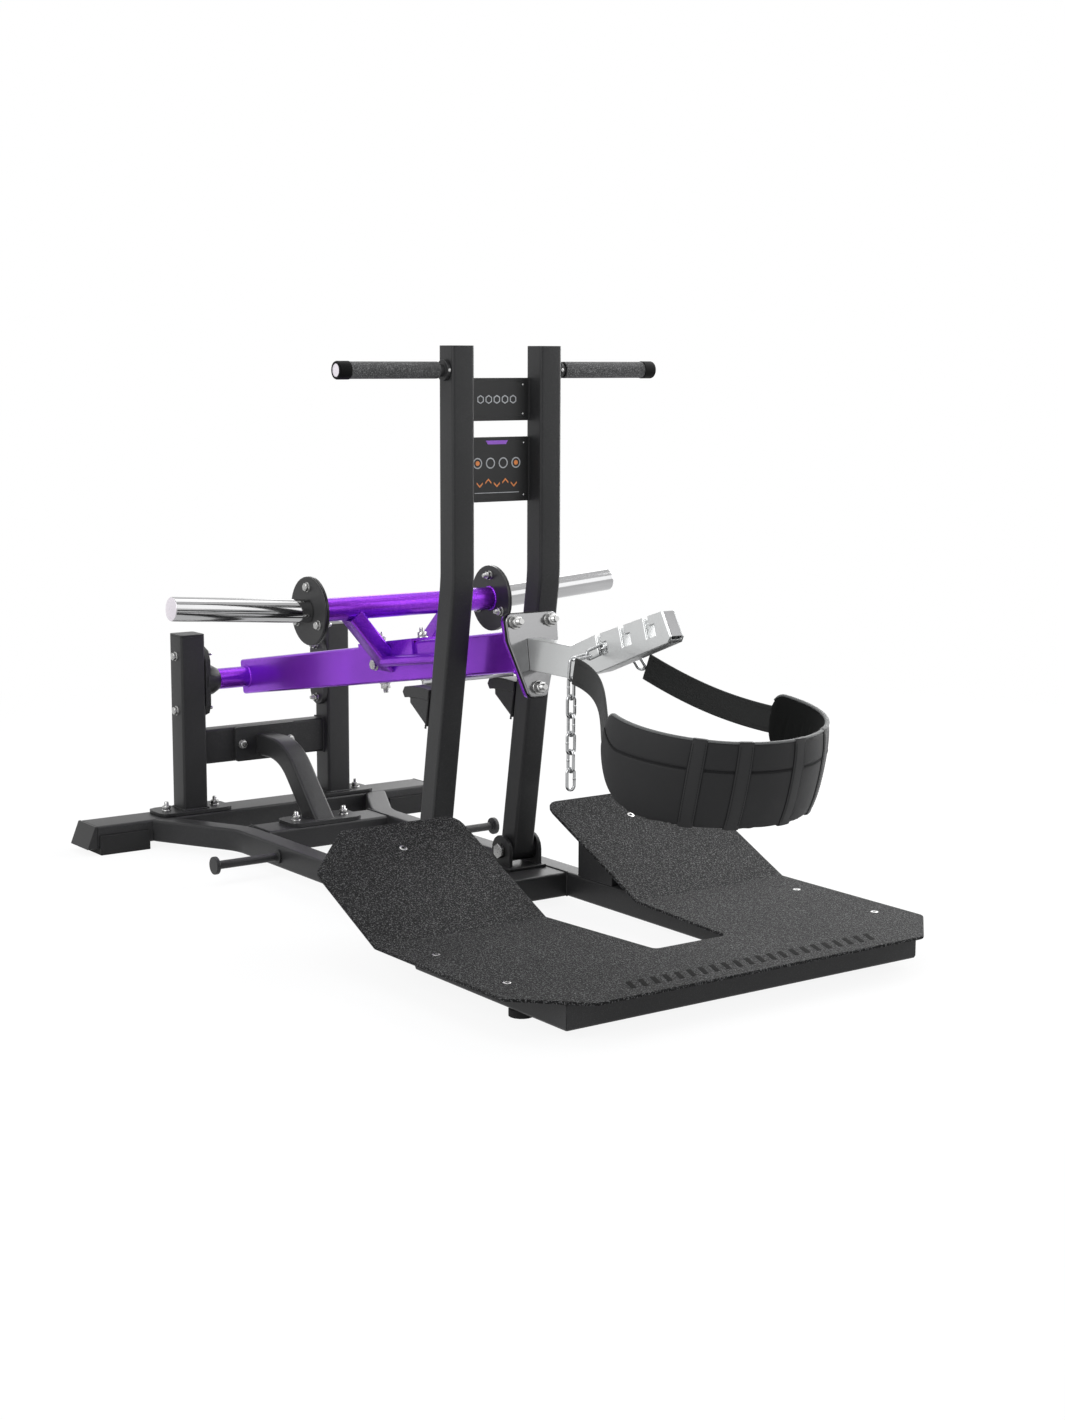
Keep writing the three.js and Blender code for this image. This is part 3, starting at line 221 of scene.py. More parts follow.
def makeCoatGrain():
    tree, given, result = newGroup("coatGrain", [
        ("Colour", "Color", (0.03, 0.03, 0.03, 1)), ("Fleck Colour", "Color", (0.1, 0.1, 0.1, 1)),
        ("Grain Size", "Float", 0.0012), ("Fleck Share", "Float", 0.3),
        ("Low Roughness", "Float", 0.4), ("High Roughness", "Float", 0.6),
    ], [("Colour", "Color"), ("Roughness", "Float"), ("Height", "Float")])
    place = addNode(tree, "TexCoord").outputs["Object"]
    scale = maths(tree, "DIVIDE", 1.0, given["Grain Size"])
    fine = addNode(tree, "TexNoise", {"Vector": place, "Scale": scale, "Detail": 2.5,
                                      "Roughness": 0.65}).outputs["Fac"]
    cells = addNode(tree, "TexVoronoi", {"Vector": place, "Scale": maths(tree, "MULTIPLY", scale, 0.8)},
                    feature="SMOOTH_F1").outputs["Distance"]
    broad = addNode(tree, "TexNoise", {"Vector": place, "Scale": 5.0, "Detail": 3.0}).outputs["Fac"]
    edge = maths(tree, "SUBTRACT", 0.72, maths(tree, "MULTIPLY", given["Fleck Share"], 0.4))
    fleck = ramp(tree, fine, edge, maths(tree, "ADD", edge, 0.14))
    toned = mixColours(tree, fleck, given["Colour"], given["Fleck Colour"])
    cloud = ramp(tree, broad, 0.3, 0.7, 0.84, 1.14)
    shade = addNode(tree, "CombineColor", {0: cloud, 1: cloud, 2: cloud}).outputs[0]
    tree.links.new(mixColours(tree, 1.0, toned, shade, "MULTIPLY"), result["Colour"])
    spread = maths(tree, "SUBTRACT", given["High Roughness"], given["Low Roughness"])
    tree.links.new(maths(tree, "ADD", given["Low Roughness"], maths(tree, "MULTIPLY", fine, spread)),
                   result["Roughness"])
    tree.links.new(maths(tree, "ADD", fine, maths(tree, "MULTIPLY", cells, 0.6)), result["Height"])
    return tree


def makeEdgeWear():
    tree, given, result = newGroup("edgeWear", [
        ("Width", "Float", 0.0015), ("Breakup", "Float", 90.0), ("Amount", "Float", 0.5),
    ], [("Mask", "Float")])
    rounded = addNode(tree, "Bevel", {"Radius": given["Width"]}, samples=4).outputs[0]
    plain = addNode(tree, "NewGeometry").outputs["Normal"]
    facing = addNode(tree, "VectorMath", {0: rounded, 1: plain}, operation="DOT_PRODUCT").outputs["Value"]
    turned = ramp(tree, facing, 0.985, 0.80)
    place = addNode(tree, "TexCoord").outputs["Object"]
    chips = addNode(tree, "TexNoise", {"Vector": place, "Scale": given["Breakup"],
                                       "Detail": 4.0}).outputs["Fac"]
    broken = ramp(tree, chips, 0.42, 0.62)
    mask = maths(tree, "MULTIPLY", maths(tree, "MULTIPLY", turned, broken), given["Amount"], clamp=True)
    tree.links.new(mask, result["Mask"])
    return tree


def makeWeave():
    tree, given, result = newGroup("weave", [
        ("Along", "Float", 0.0), ("Across", "Float", 0.0), ("Yarn Size", "Float", 0.0012),
    ], [("Tone", "Float"), ("Height", "Float")])
    scale = maths(tree, "DIVIDE", math.pi, given["Yarn Size"])
    warp = maths(tree, "SINE", maths(tree, "MULTIPLY", given["Along"], scale))
    weft = maths(tree, "SINE", maths(tree, "MULTIPLY", given["Across"], scale))
    crossed = maths(tree, "MULTIPLY", warp, weft)
    over = ramp(tree, crossed, -1.0, 1.0)
    place = addNode(tree, "TexCoord").outputs["Object"]
    fuzz = addNode(tree, "TexNoise", {"Vector": place, "Scale": 900.0, "Detail": 2.0}).outputs["Fac"]
    height = maths(tree, "ADD", over, maths(tree, "MULTIPLY", fuzz, 0.5))
    tree.links.new(ramp(tree, height, 0.0, 1.4, 0.72, 1.22), result["Tone"])
    tree.links.new(height, result["Height"])
    return tree


def makeScuffs():
    tree, given, result = newGroup("scuffs", [
        ("Scale", "Float", 40.0), ("Stretch", "Vector", (1, 1, 1)), ("Low", "Float", 0.1),
        ("High", "Float", 0.3),
    ], [("Roughness", "Float"), ("Tone", "Float"), ("Height", "Float")])
    place = addNode(tree, "TexCoord").outputs["Object"]
    drawn = addNode(tree, "VectorMath", {0: place, 1: given["Stretch"]},
                    operation="MULTIPLY").outputs["Vector"]
    streaks = addNode(tree, "TexNoise", {"Vector": drawn, "Scale": given["Scale"], "Detail": 5.0,
                                         "Roughness": 0.7}).outputs["Fac"]
    broad = addNode(tree, "TexNoise", {"Vector": place, "Scale": 9.0, "Detail": 2.0}).outputs["Fac"]
    mixed = maths(tree, "ADD", maths(tree, "MULTIPLY", streaks, 0.7), maths(tree, "MULTIPLY", broad, 0.3))
    tree.links.new(ramp(tree, mixed, 0.35, 0.65, given["Low"], given["High"]), result["Roughness"])
    tree.links.new(ramp(tree, mixed, 0.3, 0.7, 0.86, 1.06), result["Tone"])
    tree.links.new(streaks, result["Height"])
    return tree


groups = {"coatGrain": makeCoatGrain(), "edgeWear": makeEdgeWear(), "weave": makeWeave(),
          "scuffs": makeScuffs()}


def useGroup(tree, name, inputs):
    node = tree.nodes.new("ShaderNodeGroup")
    node.node_tree = groups[name]
    for key, value in inputs.items():
        if isinstance(value, bpy.types.NodeSocket):
            tree.links.new(value, node.inputs[key])
        else:
            node.inputs[key].default_value = value
    return node.outputs


def newMaterial(name, plain):
    material = bpy.data.materials.new(name)
    material.use_nodes = True
    tree = material.node_tree
    tree.nodes.clear()
    shader = addNode(tree, "BsdfPrincipled", plain)
    addNode(tree, "OutputMaterial", {"Surface": shader.outputs[0]})
    return material, tree, shader.inputs


def bumped(tree, height, strength, distance):
    return addNode(tree, "Bump", {"Height": height, "Strength": strength, "Distance": distance}).outputs[0]


def tinted(tree, colour, tone):
    shade = addNode(tree, "CombineColor", {0: tone, 1: tone, 2: tone}).outputs[0]
    return mixColours(tree, 1.0, colour, shade, "MULTIPLY")


# Painted and moulded finishes: a grained coat with worn edges
coats = {
    "blackCoat": {"colour": (0.017, 0.017, 0.0175, 1), "fleck": (0.042, 0.042, 0.042, 1),
                  "grain": 0.0014, "share": 0.4, "rough": (0.32, 0.5), "bump": (0.25, 0.0004),
                  "worn": (0.10, 0.10, 0.102, 1), "wear": 0.5, "plain": {"Specular IOR Level": 0.22}},
    "gripCoat": {"colour": (0.005, 0.005, 0.0052, 1), "fleck": (0.10, 0.10, 0.10, 1),
                 "grain": 0.0027, "share": 0.52, "rough": (0.6, 0.88), "bump": (0.9, 0.0013),
                 "worn": (0.10, 0.10, 0.10, 1), "wear": 0.6, "plain": {"Specular IOR Level": 0.08}},
    "purpleCoat": {"colour": (0.175, 0.018, 0.47, 1), "fleck": (0.50, 0.08, 0.92, 1),
                   "grain": 0.0016, "share": 0.5, "rough": (0.16, 0.3), "bump": (0.12, 0.0003),
                   "worn": (0.36, 0.16, 0.58, 1), "wear": 0.45,
                   "plain": {"Metallic": 0.72, "Specular IOR Level": 0.2, "Coat Weight": 0.08,
                             "Coat Roughness": 0.1}},
    "rubber": {"colour": (0.014, 0.014, 0.014, 1), "fleck": (0.03, 0.03, 0.03, 1),
               "grain": 0.0016, "share": 0.3, "rough": (0.7, 0.88), "bump": (0.3, 0.0005),
               "worn": (0.05, 0.05, 0.05, 1), "wear": 0.4, "plain": {"Specular IOR Level": 0.2}},
    "gripRubber": {"colour": (0.03, 0.03, 0.03, 1), "fleck": (0.15, 0.15, 0.15, 1),
                   "grain": 0.0019, "share": 0.55, "rough": (0.6, 0.85), "bump": (0.7, 0.0009),
                   "worn": (0.1, 0.1, 0.1, 1), "wear": 0.2, "plain": {"Specular IOR Level": 0.3}},
    "plastic": {"colour": (0.010, 0.010, 0.0104, 1), "fleck": (0.020, 0.020, 0.020, 1),
                "grain": 0.0009, "share": 0.25, "rough": (0.35, 0.5), "bump": (0.15, 0.0003),
                "worn": (0.06, 0.06, 0.06, 1), "wear": 0.35, "plain": {"Specular IOR Level": 0.3}},
    "signCoat": {"colour": (0.019, 0.019, 0.019, 1), "fleck": (0.03, 0.03, 0.03, 1),
                 "grain": 0.0007, "share": 0.25, "rough": (0.38, 0.5), "bump": (0.1, 0.0002),
                 "worn": (0.08, 0.08, 0.08, 1), "wear": 0.3, "plain": {"Specular IOR Level": 0.3}},
    "endCap": {"colour": (0.0015, 0.0015, 0.0015, 1), "fleck": (0.003, 0.003, 0.003, 1),
               "grain": 0.0009, "share": 0.2, "rough": (0.5, 0.65), "bump": (0.1, 0.0002),
               "worn": (0.01, 0.01, 0.01, 1), "wear": 0.2, "plain": {"Specular IOR Level": 0.08}},
    "palePlug": {"colour": (0.62, 0.58, 0.62, 1), "fleck": (0.72, 0.70, 0.72, 1),
                 "grain": 0.0012, "share": 0.4, "rough": (0.3, 0.45), "bump": (0.1, 0.0002),
                 "worn": (0.8, 0.8, 0.8, 1), "wear": 0.3, "plain": {"Metallic": 0.6}},
    "greyPrint": {"colour": (0.42, 0.43, 0.44, 1), "fleck": (0.5, 0.5, 0.5, 1),
                  "grain": 0.0008, "share": 0.3, "rough": (0.4, 0.55), "bump": (0.1, 0.0001),
                  "worn": (0.2, 0.2, 0.2, 1), "wear": 0.2, "plain": {}},
    "orangePrint": {"colour": (0.78, 0.25, 0.06, 1), "fleck": (0.85, 0.36, 0.12, 1),
                    "grain": 0.0008, "share": 0.3, "rough": (0.4, 0.55), "bump": (0.1, 0.0001),
                    "worn": (0.3, 0.12, 0.05, 1), "wear": 0.2, "plain": {}},
    "purplePrint": {"colour": (0.28, 0.09, 0.55, 1), "fleck": (0.36, 0.16, 0.62, 1),
                    "grain": 0.0008, "share": 0.3, "rough": (0.4, 0.55), "bump": (0.1, 0.0001),
                    "worn": (0.12, 0.05, 0.25, 1), "wear": 0.2, "plain": {}},
    "darkPrint": {"colour": (0.003, 0.003, 0.003, 1), "fleck": (0.008, 0.008, 0.008, 1),
                  "grain": 0.0012, "share": 0.3, "rough": (0.75, 0.9), "bump": (0.3, 0.0003),
                  "worn": (0.02, 0.02, 0.02, 1), "wear": 0.2, "plain": {"Specular IOR Level": 0.05}},
}

# The horn frame's end flanges are black, from this many metres off the middle
flanges = {"from": 0.2175, "colour": (0.02, 0.02, 0.0205, 1)}


def makeCoat(name, values):
    material, tree, shader = newMaterial(name, values["plain"])
    grain = useGroup(tree, "coatGrain", {
        "Colour": values["colour"], "Fleck Colour": values["fleck"], "Grain Size": values["grain"],
        "Fleck Share": values["share"], "Low Roughness": values["rough"][0],
        "High Roughness": values["rough"][1]})
    wear = useGroup(tree, "edgeWear", {"Amount": values["wear"]})
    colour = mixColours(tree, wear["Mask"], grain["Colour"], values["worn"])
    if values.get("blackEnds"):
        place = addNode(tree, "TexCoord").outputs["Object"]
        across = maths(tree, "ABSOLUTE", addNode(tree, "SeparateXYZ", {0: place}).outputs["X"])
        ends = maths(tree, "GREATER_THAN", across, flanges["from"])
        colour = mixColours(tree, ends, colour, flanges["colour"])
        tree.links.new(maths(tree, "MULTIPLY", maths(tree, "SUBTRACT", 1.0, ends),
                             values["plain"]["Metallic"]), shader["Metallic"])
    tree.links.new(colour, shader["Base Color"])
    tree.links.new(grain["Roughness"], shader["Roughness"])
    tree.links.new(bumped(tree, grain["Height"], *values["bump"]), shader["Normal"])
    return material


metalWear = {"amount": 0.35, "breakup": 160.0, "colour": (0.9, 0.9, 0.9, 1)}
metals = {
    "chrome": {"colour": (0.42, 0.42, 0.425, 1), "scale": 34, "stretch": (0.08, 1, 1),
               "rough": (0.05, 0.14), "bump": (0.02, 0.0002)},
    "platedSteel": {"colour": (0.23, 0.23, 0.233, 1), "scale": 60, "stretch": (1, 1, 1),
                    "rough": (0.1, 0.2), "bump": (0.08, 0.0002)},
    "hookZinc": {"colour": (0.62, 0.63, 0.63, 1), "scale": 420, "stretch": (1, 1, 1),
                 "rough": (0.3, 0.52), "bump": (0.3, 0.0004)},
    "chainZinc": {"colour": (0.40, 0.405, 0.41, 1), "scale": 160, "stretch": (1, 1, 1),
                  "rough": (0.12, 0.26), "bump": (0.1, 0.0003)},
    "fastenerZinc": {"colour": (0.42, 0.42, 0.415, 1), "scale": 200, "stretch": (1, 1, 1),
                     "rough": (0.2, 0.36), "bump": (0.1, 0.0002)},
}


def makeMetal(name, values):
    material, tree, shader = newMaterial(name, {"Metallic": 1.0})
    scuffs = useGroup(tree, "scuffs", {"Scale": values["scale"], "Stretch": values["stretch"],
                                       "Low": values["rough"][0], "High": values["rough"][1]})
    wear = useGroup(tree, "edgeWear", {"Amount": metalWear["amount"], "Breakup": metalWear["breakup"]})
    toned = tinted(tree, values["colour"], scuffs["Tone"])
    tree.links.new(mixColours(tree, wear["Mask"], toned, metalWear["colour"]), shader["Base Color"])
    tree.links.new(scuffs["Roughness"], shader["Roughness"])
    tree.links.new(bumped(tree, scuffs["Height"], *values["bump"]), shader["Normal"])
    return material


fabrics = {
    "padFabric": {"colour": (0.0085, 0.0085, 0.009, 1), "yarn": 0.0011, "rough": 0.66,
                  "bump": (0.35, 0.0005),
                  "plain": {"Sheen Weight": 0.05, "Specular IOR Level": 0.25}},
    "bandFabric": {"colour": (0.0088, 0.0088, 0.0093, 1), "yarn": 0.0009, "rough": 0.6,
                   "bump": (0.35, 0.0004),
                   "plain": {"Sheen Weight": 0.06, "Specular IOR Level": 0.3}},
    "liningFabric": {"colour": (0.0035, 0.0038, 0.0036, 1), "yarn": 0.0013, "rough": 0.8,
                     "bump": (0.3, 0.0004),
                     "plain": {"Sheen Weight": 0.02, "Specular IOR Level": 0.08}},
    "webbing": {"colour": (0.0125, 0.013, 0.0125, 1), "yarn": 0.0016, "rough": 0.75, "bump": (0.5, 0.0007),
                "plain": {"Sheen Weight": 0.08, "Specular IOR Level": 0.25}},
    "bindFabric": {"colour": (0.085, 0.087, 0.086, 1), "yarn": 0.0011, "rough": 0.7, "bump": (0.4, 0.0004),
                   "plain": {"Sheen Weight": 0.1, "Specular IOR Level": 0.3}},
    # dark thread colour, also used for the painted shadow lines beside the pad's bands
    "seamThreadAndShadowLines": {"colour": (0.004, 0.004, 0.0045, 1), "yarn": 0.0006, "rough": 0.8, "bump": (0.4, 0.0002),
                   "plain": {"Sheen Weight": 0.04, "Specular IOR Level": 0.15}},
}


def makeFabric(name, values):
    material, tree, shader = newMaterial(name, values["plain"])
    along = addNode(tree, "Attribute", attribute_name="along").outputs["Fac"]
    across = addNode(tree, "Attribute", attribute_name="across").outputs["Fac"]
    weave = useGroup(tree, "weave", {"Along": along, "Across": across, "Yarn Size": values["yarn"]})
    place = addNode(tree, "TexCoord").outputs["Object"]
    broad = addNode(tree, "TexNoise", {"Vector": place, "Scale": 14.0, "Detail": 4.0}).outputs["Fac"]
    tone = maths(tree, "MULTIPLY", weave["Tone"], ramp(tree, broad, 0.3, 0.7, 0.88, 1.14))
    tree.links.new(tinted(tree, values["colour"], tone), shader["Base Color"])
    tree.links.new(ramp(tree, broad, 0.3, 0.7, values["rough"] - 0.08, values["rough"] + 0.06),
                   shader["Roughness"])
    tree.links.new(bumped(tree, weave["Height"], *values["bump"]), shader["Normal"])
    return material


coats["purpleBlackEnds"] = dict(coats["purpleCoat"], blackEnds=True)
finishes = {name: makeCoat(name, values) for name, values in coats.items()}
finishes.update({name: makeMetal(name, values) for name, values in metals.items()})
finishes.update({name: makeFabric(name, values) for name, values in fabrics.items()})
print("made", len(finishes), "materials")

# The CAD nodes get their materials, welded edges and a small round on each sharp edge
nodeFinish = {
    "foot_deck": "gripCoat", "grip_left": "gripRubber", "grip_right": "gripRubber",
    "lever_arm": "purpleCoat", "pivot_tube": "purpleCoat", "horn_frame": "purpleBlackEnds",
    "horn_left": "chrome", "horn_right": "chrome", "tip_plate": "platedSteel",
    "hook_bracket": "hookZinc", "stop_bar": "hookZinc", "pivot_shaft": "fastenerZinc",
    "hinge_pin_left": "fastenerZinc", "hinge_pin_right": "fastenerZinc",
    "rear_foot_left": "rubber", "rear_foot_right": "rubber",
    "levelling_foot_left": "rubber", "levelling_foot_right": "rubber",
    "rear_cap_left": "plastic", "rear_cap_right": "plastic",
    "upright_cap_left": "plastic", "upright_cap_right": "plastic",
    "belt_chain": "chainZinc", "belt_pad": "padFabric",
    "belt_strap_left": "webbing", "belt_strap_right": "webbing",
    "sign_plate": "signCoat", "placard_plate": "signCoat",
}
edges = {"round": 0.0012, "bigRound": 0.002, "sharpDegrees": 50, "weld": 0.00002, "flatDegrees": 0.6,
         "segments": 2}
bigRounds = {"foot_deck", "hook_bracket", "tip_plate", "lever_arm", "stop_bar", "horn_disc_left",
             "horn_disc_right", "brace", "catch_left", "catch_right"}


def makeShading():
    tree = bpy.data.node_groups.new("shadeByAngle", "GeometryNodeTree")
    tree.interface.new_socket("Geometry", in_out="INPUT", socket_type="NodeSocketGeometry")
    tree.interface.new_socket("Geometry", in_out="OUTPUT", socket_type="NodeSocketGeometry")
    entry = tree.nodes.new("NodeGroupInput")
    leave = tree.nodes.new("NodeGroupOutput")
    faces = tree.nodes.new("GeometryNodeSetShadeSmooth")
    faces.domain = "FACE"
    lines = tree.nodes.new("GeometryNodeSetShadeSmooth")
    lines.domain = "EDGE"
    angle = tree.nodes.new("GeometryNodeInputMeshEdgeAngle")
    gentle = tree.nodes.new("FunctionNodeCompare")
    gentle.data_type = "FLOAT"
    gentle.operation = "LESS_EQUAL"
    gentle.inputs[1].default_value = math.radians(edges["sharpDegrees"])
    tree.links.new(entry.outputs[0], faces.inputs["Geometry"])
    tree.links.new(faces.outputs[0], lines.inputs["Geometry"])
    tree.links.new(angle.outputs["Unsigned Angle"], gentle.inputs[0])
    tree.links.new(gentle.outputs[0], lines.inputs["Shade Smooth"])
    tree.links.new(lines.outputs[0], leave.inputs[0])
    return tree


shading = makeShading()


def smoothEdges(obj, width, isCad):
    if isCad:
        weld = obj.modifiers.new("weld", "WELD")
        weld.merge_threshold = edges["weld"]
        flatten = obj.modifiers.new("flatten", "DECIMATE")
        flatten.decimate_type = "DISSOLVE"
        flatten.angle_limit = math.radians(edges["flatDegrees"])
    if width:
        bevel = obj.modifiers.new("round", "BEVEL")
        bevel.limit_method = "ANGLE"
        bevel.angle_limit = math.radians(edges["sharpDegrees"])
        bevel.width = width
        bevel.segments = edges["segments"]
        bevel.use_clamp_overlap = True
    shade = obj.modifiers.new("shade", "NODES")
    shade.node_group = shading
    weighted = obj.modifiers.new("weighted", "WEIGHTED_NORMAL")
    weighted.keep_sharp = True


for name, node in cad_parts.items():
    node.data.materials.clear()
    node.data.materials.append(finishes[nodeFinish.get(name, "blackCoat")])
    custom = node.data.attributes.get("custom_normal")
    if custom:
        node.data.attributes.remove(custom)
    smoothEdges(node, edges["bigRound"] if name in bigRounds else edges["round"], True)
print("dressed the CAD nodes")


# Helpers that build meshes
def frameFor(place, direction, spin=0.0):
    turn = Vector(direction).to_track_quat("Z", "Y")
    return Matrix.Translation(place) @ (turn @ Quaternion((0, 0, 1), spin)).to_matrix().to_4x4()


def revolve(bm, profile, segments, matrix):
    rings = []
    for radius, height in profile:
        if radius == 0:
            rings.append([bm.verts.new(matrix @ Vector((0, 0, height)))])
            continue
        turns = [2 * math.pi * (k + 0.5) / segments for k in range(segments)]
        rings.append([bm.verts.new(matrix @ Vector((radius * math.cos(t), radius * math.sin(t), height)))
                      for t in turns])
    for lower, upper in zip(rings, rings[1:]):
        for k in range(segments):
            j = (k + 1) % segments
            ring = [lower[k % len(lower)], lower[j % len(lower)],
                    upper[j % len(upper)], upper[k % len(upper)]]
            corners = list(dict.fromkeys(ring))  # a ring of one point gives a triangle
            if len(corners) > 2:
                bm.faces.new(corners)


def joinRings(bm, rings):  # quads between each ring of points and the next
    for lower, upper in zip(rings, rings[1:]):
        for k in range(len(lower)):
            j = (k + 1) % len(lower)
            bm.faces.new((lower[k], lower[j], upper[j], upper[k]))


def sweepSection(bm, stations, section, closed=False):
    # stations are (place, side, up) with the section's points given as (side, up) pairs
    rings = [[bm.verts.new(place + side * a + up * b) for a, b in section(i)]
             for i, (place, side, up) in enumerate(stations)]
    joinRings(bm, rings + rings[:1] if closed else rings)
    if not closed:
        bm.faces.new(list(reversed(rings[0])))
        bm.faces.new(rings[-1])
    return rings


def roundSection(radius, count):
    return [(radius * math.cos(2 * math.pi * k / count), radius * math.sin(2 * math.pi * k / count))
            for k in range(count)]


def alongPath(points, closed=False, up=Vector((0, 0, 1))):
    stations = []
    last = len(points) - 1
    for i, place in enumerate(points):
        before = points[i - 1] if (i or closed) else place
        after = points[(i + 1) % len(points)] if (i < last or closed) else place
        run = (after - before).normalized()
        side = run.cross(up)
        if side.length < 1e-6:
            side = run.orthogonal()
        side.normalize()
        stations.append((place, side, side.cross(run).normalized()))
    return stations


def makePiece(name, body, build, finish, width=0.0):
    bm = bmesh.new()
    build(bm)
    bmesh.ops.recalc_face_normals(bm, faces=bm.faces)
    mesh = bpy.data.meshes.new(name)
    bm.to_mesh(mesh)
    bm.free()
    obj = bpy.data.objects.new(name, mesh)
    bpy.context.scene.collection.objects.link(obj)
    mesh.materials.append(finishes[finish])
    smoothEdges(obj, width, False)
    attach(obj, body)
    return obj


# Bolts, nuts and screws, in metres as they are turned and scaled
bolt = {"flats": 0.0082, "head": 0.0068, "nut": 0.0092, "washer": 0.0108, "washerThick": 0.0019,
        "stud": 0.0052, "studOut": 0.0085, "thread": 0.0016, "threadDeep": 0.0005}


def studProfile(start, end):
    profile = [(0, start)]
    height = start
    while height < end - bolt["thread"]:
        profile += [(bolt["stud"], height),
                    (bolt["stud"] - bolt["threadDeep"], height + bolt["thread"] / 2)]
        height += bolt["thread"]
    return profile + [(bolt["stud"] * 0.8, end), (0, end)]


def addFastener(bm, place, direction, kind, scale=1.0, spin=0.3):
    matrix = frameFor(place, direction, spin) @ Matrix.Scale(scale, 4)
    ring, thick = bolt["washer"], bolt["washerThick"]
    revolve(bm, [(0, 0), (ring, 0), (ring, thick * 0.7), (ring * 0.96, thick), (0, thick)], 28, matrix)
    tall = thick + (bolt["nut"] if kind == "nut" else bolt["head"])
    wide = bolt["flats"] * 1.155
    revolve(bm, [(0, thick), (wide * 0.96, thick), (wide, thick + 0.0008), (wide, tall - 0.0012),
                 (wide * 0.87, tall), (0, tall)], 6, matrix)
    if kind == "nut":
        revolve(bm, studProfile(tall - 0.001, tall + bolt["studOut"]), 20, matrix)
    else:
        revolve(bm, [(0, tall - 0.0006), (wide * 0.62, tall - 0.0006), (wide * 0.6, tall + 0.0007),
                     (0, tall + 0.0009)], 24, matrix)


up = Vector((0, 0, 1))
left, right = Vector((-1, 0, 0)), Vector((1, 0, 0))
front, back = Vector((0, -1, 0)), Vector((0, 1, 0))

towerBolts = {"footReach": 61, "footTop": 73, "uprightX": 189, "rearY": 1780, "braceY": 1517.5,
              "plateY": 1761.7, "plateX": 62, "plateZ": 210, "bearingZ": (300, 424),
              "outerX": 219, "flangeX": 146.7}


def buildTowerBolts(bm):
    v = towerBolts
    for side in (-1, 1):
        for reach in (-1, 1):
            x = side * v["uprightX"] + reach * v["footReach"]
            addFastener(bm, at(x, v["rearY"], v["footTop"]), up, "nut")
        addFastener(bm, at(side * v["footReach"], v["braceY"], v["footTop"]), up, "nut")
        addFastener(bm, at(side * v["plateX"], v["plateY"], v["plateZ"]), front, "bolt")
        for z in v["bearingZ"]:
            outward = left if side < 0 else right
            addFastener(bm, at(side * v["outerX"], v["rearY"], z), outward, "bolt")
            addFastener(bm, at(side * v["flangeX"], v["rearY"], z), -outward, "nut", 0.9)


makePiece("tower_bolts", "base", buildTowerBolts, "fastenerZinc")

deckScrews = {"x": 419, "flatY": (179, 394), "rampX": 272, "rampY": 733, "flatTop": 71, "radius": 0.0072,
              "rampDegrees": 25, "rampStart": 501}


def buildDeckScrews(bm):
    v = deckScrews
    r = v["radius"]
    lean = math.radians(v["rampDegrees"])
    head = [(0, -0.0015), (r, -0.0015), (r, 0.0004), (r * 0.86, 0.0009), (r * 0.5, 0.0009)]
    socket = [(r * 0.5, -0.0012), (0, -0.0012)]
    places = [(at(side * v["x"], y, v["flatTop"]), up) for side in (-1, 1) for y in v["flatY"]]
    rise = v["flatTop"] + (v["rampY"] - v["rampStart"]) * math.tan(lean)
    slope = Vector((0, -math.sin(lean), math.cos(lean)))
    places += [(at(side * v["rampX"], v["rampY"], rise), slope) for side in (-1, 1)]
    for place, direction in places:
        revolve(bm, head + socket, 24, frameFor(place, direction))


makePiece("deck_screws", "base", buildDeckScrews, "fastenerZinc")

discBolts = {"y": 1160, "z": 585.5, "circle": 49, "outerX": 228.3, "innerX": 218, "degrees": (90, -30, 210)}


def buildDiscBolts(bm):
    v = discBolts
    for side in (-1, 1):
        outward = left if side < 0 else right
        for degrees in v["degrees"]:
            turn = math.radians(degrees)
            y, z = v["y"] - v["circle"] * math.cos(turn), v["z"] + v["circle"] * math.sin(turn)
            addFastener(bm, at(side * v["outerX"], y, z), outward, "bolt", 0.92)
            addFastener(bm, at(side * v["innerX"], y, z), -outward, "nut", 0.92)


makePiece("disc_bolts", "lever", buildDiscBolts, "fastenerZinc")

saddleBolts = {"rows": (1240, 1079), "top": 46.3, "bottom": -40.2, "sideY": 1206, "sideZ": 457,
               "sideX": 40.3}


def buildSaddleBolts(bm):
    v = saddleBolts
    for y in v["rows"]:
        reach = alongArm(y)
        addFastener(bm, onArm(0, reach, v["top"]), armUp, "nut", 1.1)
        addFastener(bm, onArm(0, reach, v["bottom"]), -armUp, "nut", 1.1)
    addFastener(bm, at(-v["sideX"], v["sideY"], v["sideZ"]), left, "bolt", 1.2)
    addFastener(bm, at(v["sideX"], v["sideY"], v["sideZ"]), right, "nut", 1.2)


makePiece("saddle_bolts", "lever", buildSaddleBolts, "fastenerZinc")

tipBolts = {"top": (41, 56), "bottom": (0, -72), "face": 1106.1}


def buildTipBolts(bm):
    v = tipBolts
    for x, z in ((-v["top"][0], v["top"][1]), v["top"], v["bottom"]):
        addFastener(bm, onArm(x, -v["face"], z), armFront, "nut", 1.25)


makePiece("tip_bolts", "lever", buildTipBolts, "fastenerZinc")
print("fitted the fasteners")

# Handles: collar screws, grip end rings and pale end discs
handle = {"y": 803, "z": 1070, "collarX": (127.3, 135.3), "gripEnd": 365.3, "gripRadius": 16,
          "ringLength": 25, "ringProud": 1.1, "screw": 3.2, "screwFace": 19.6}


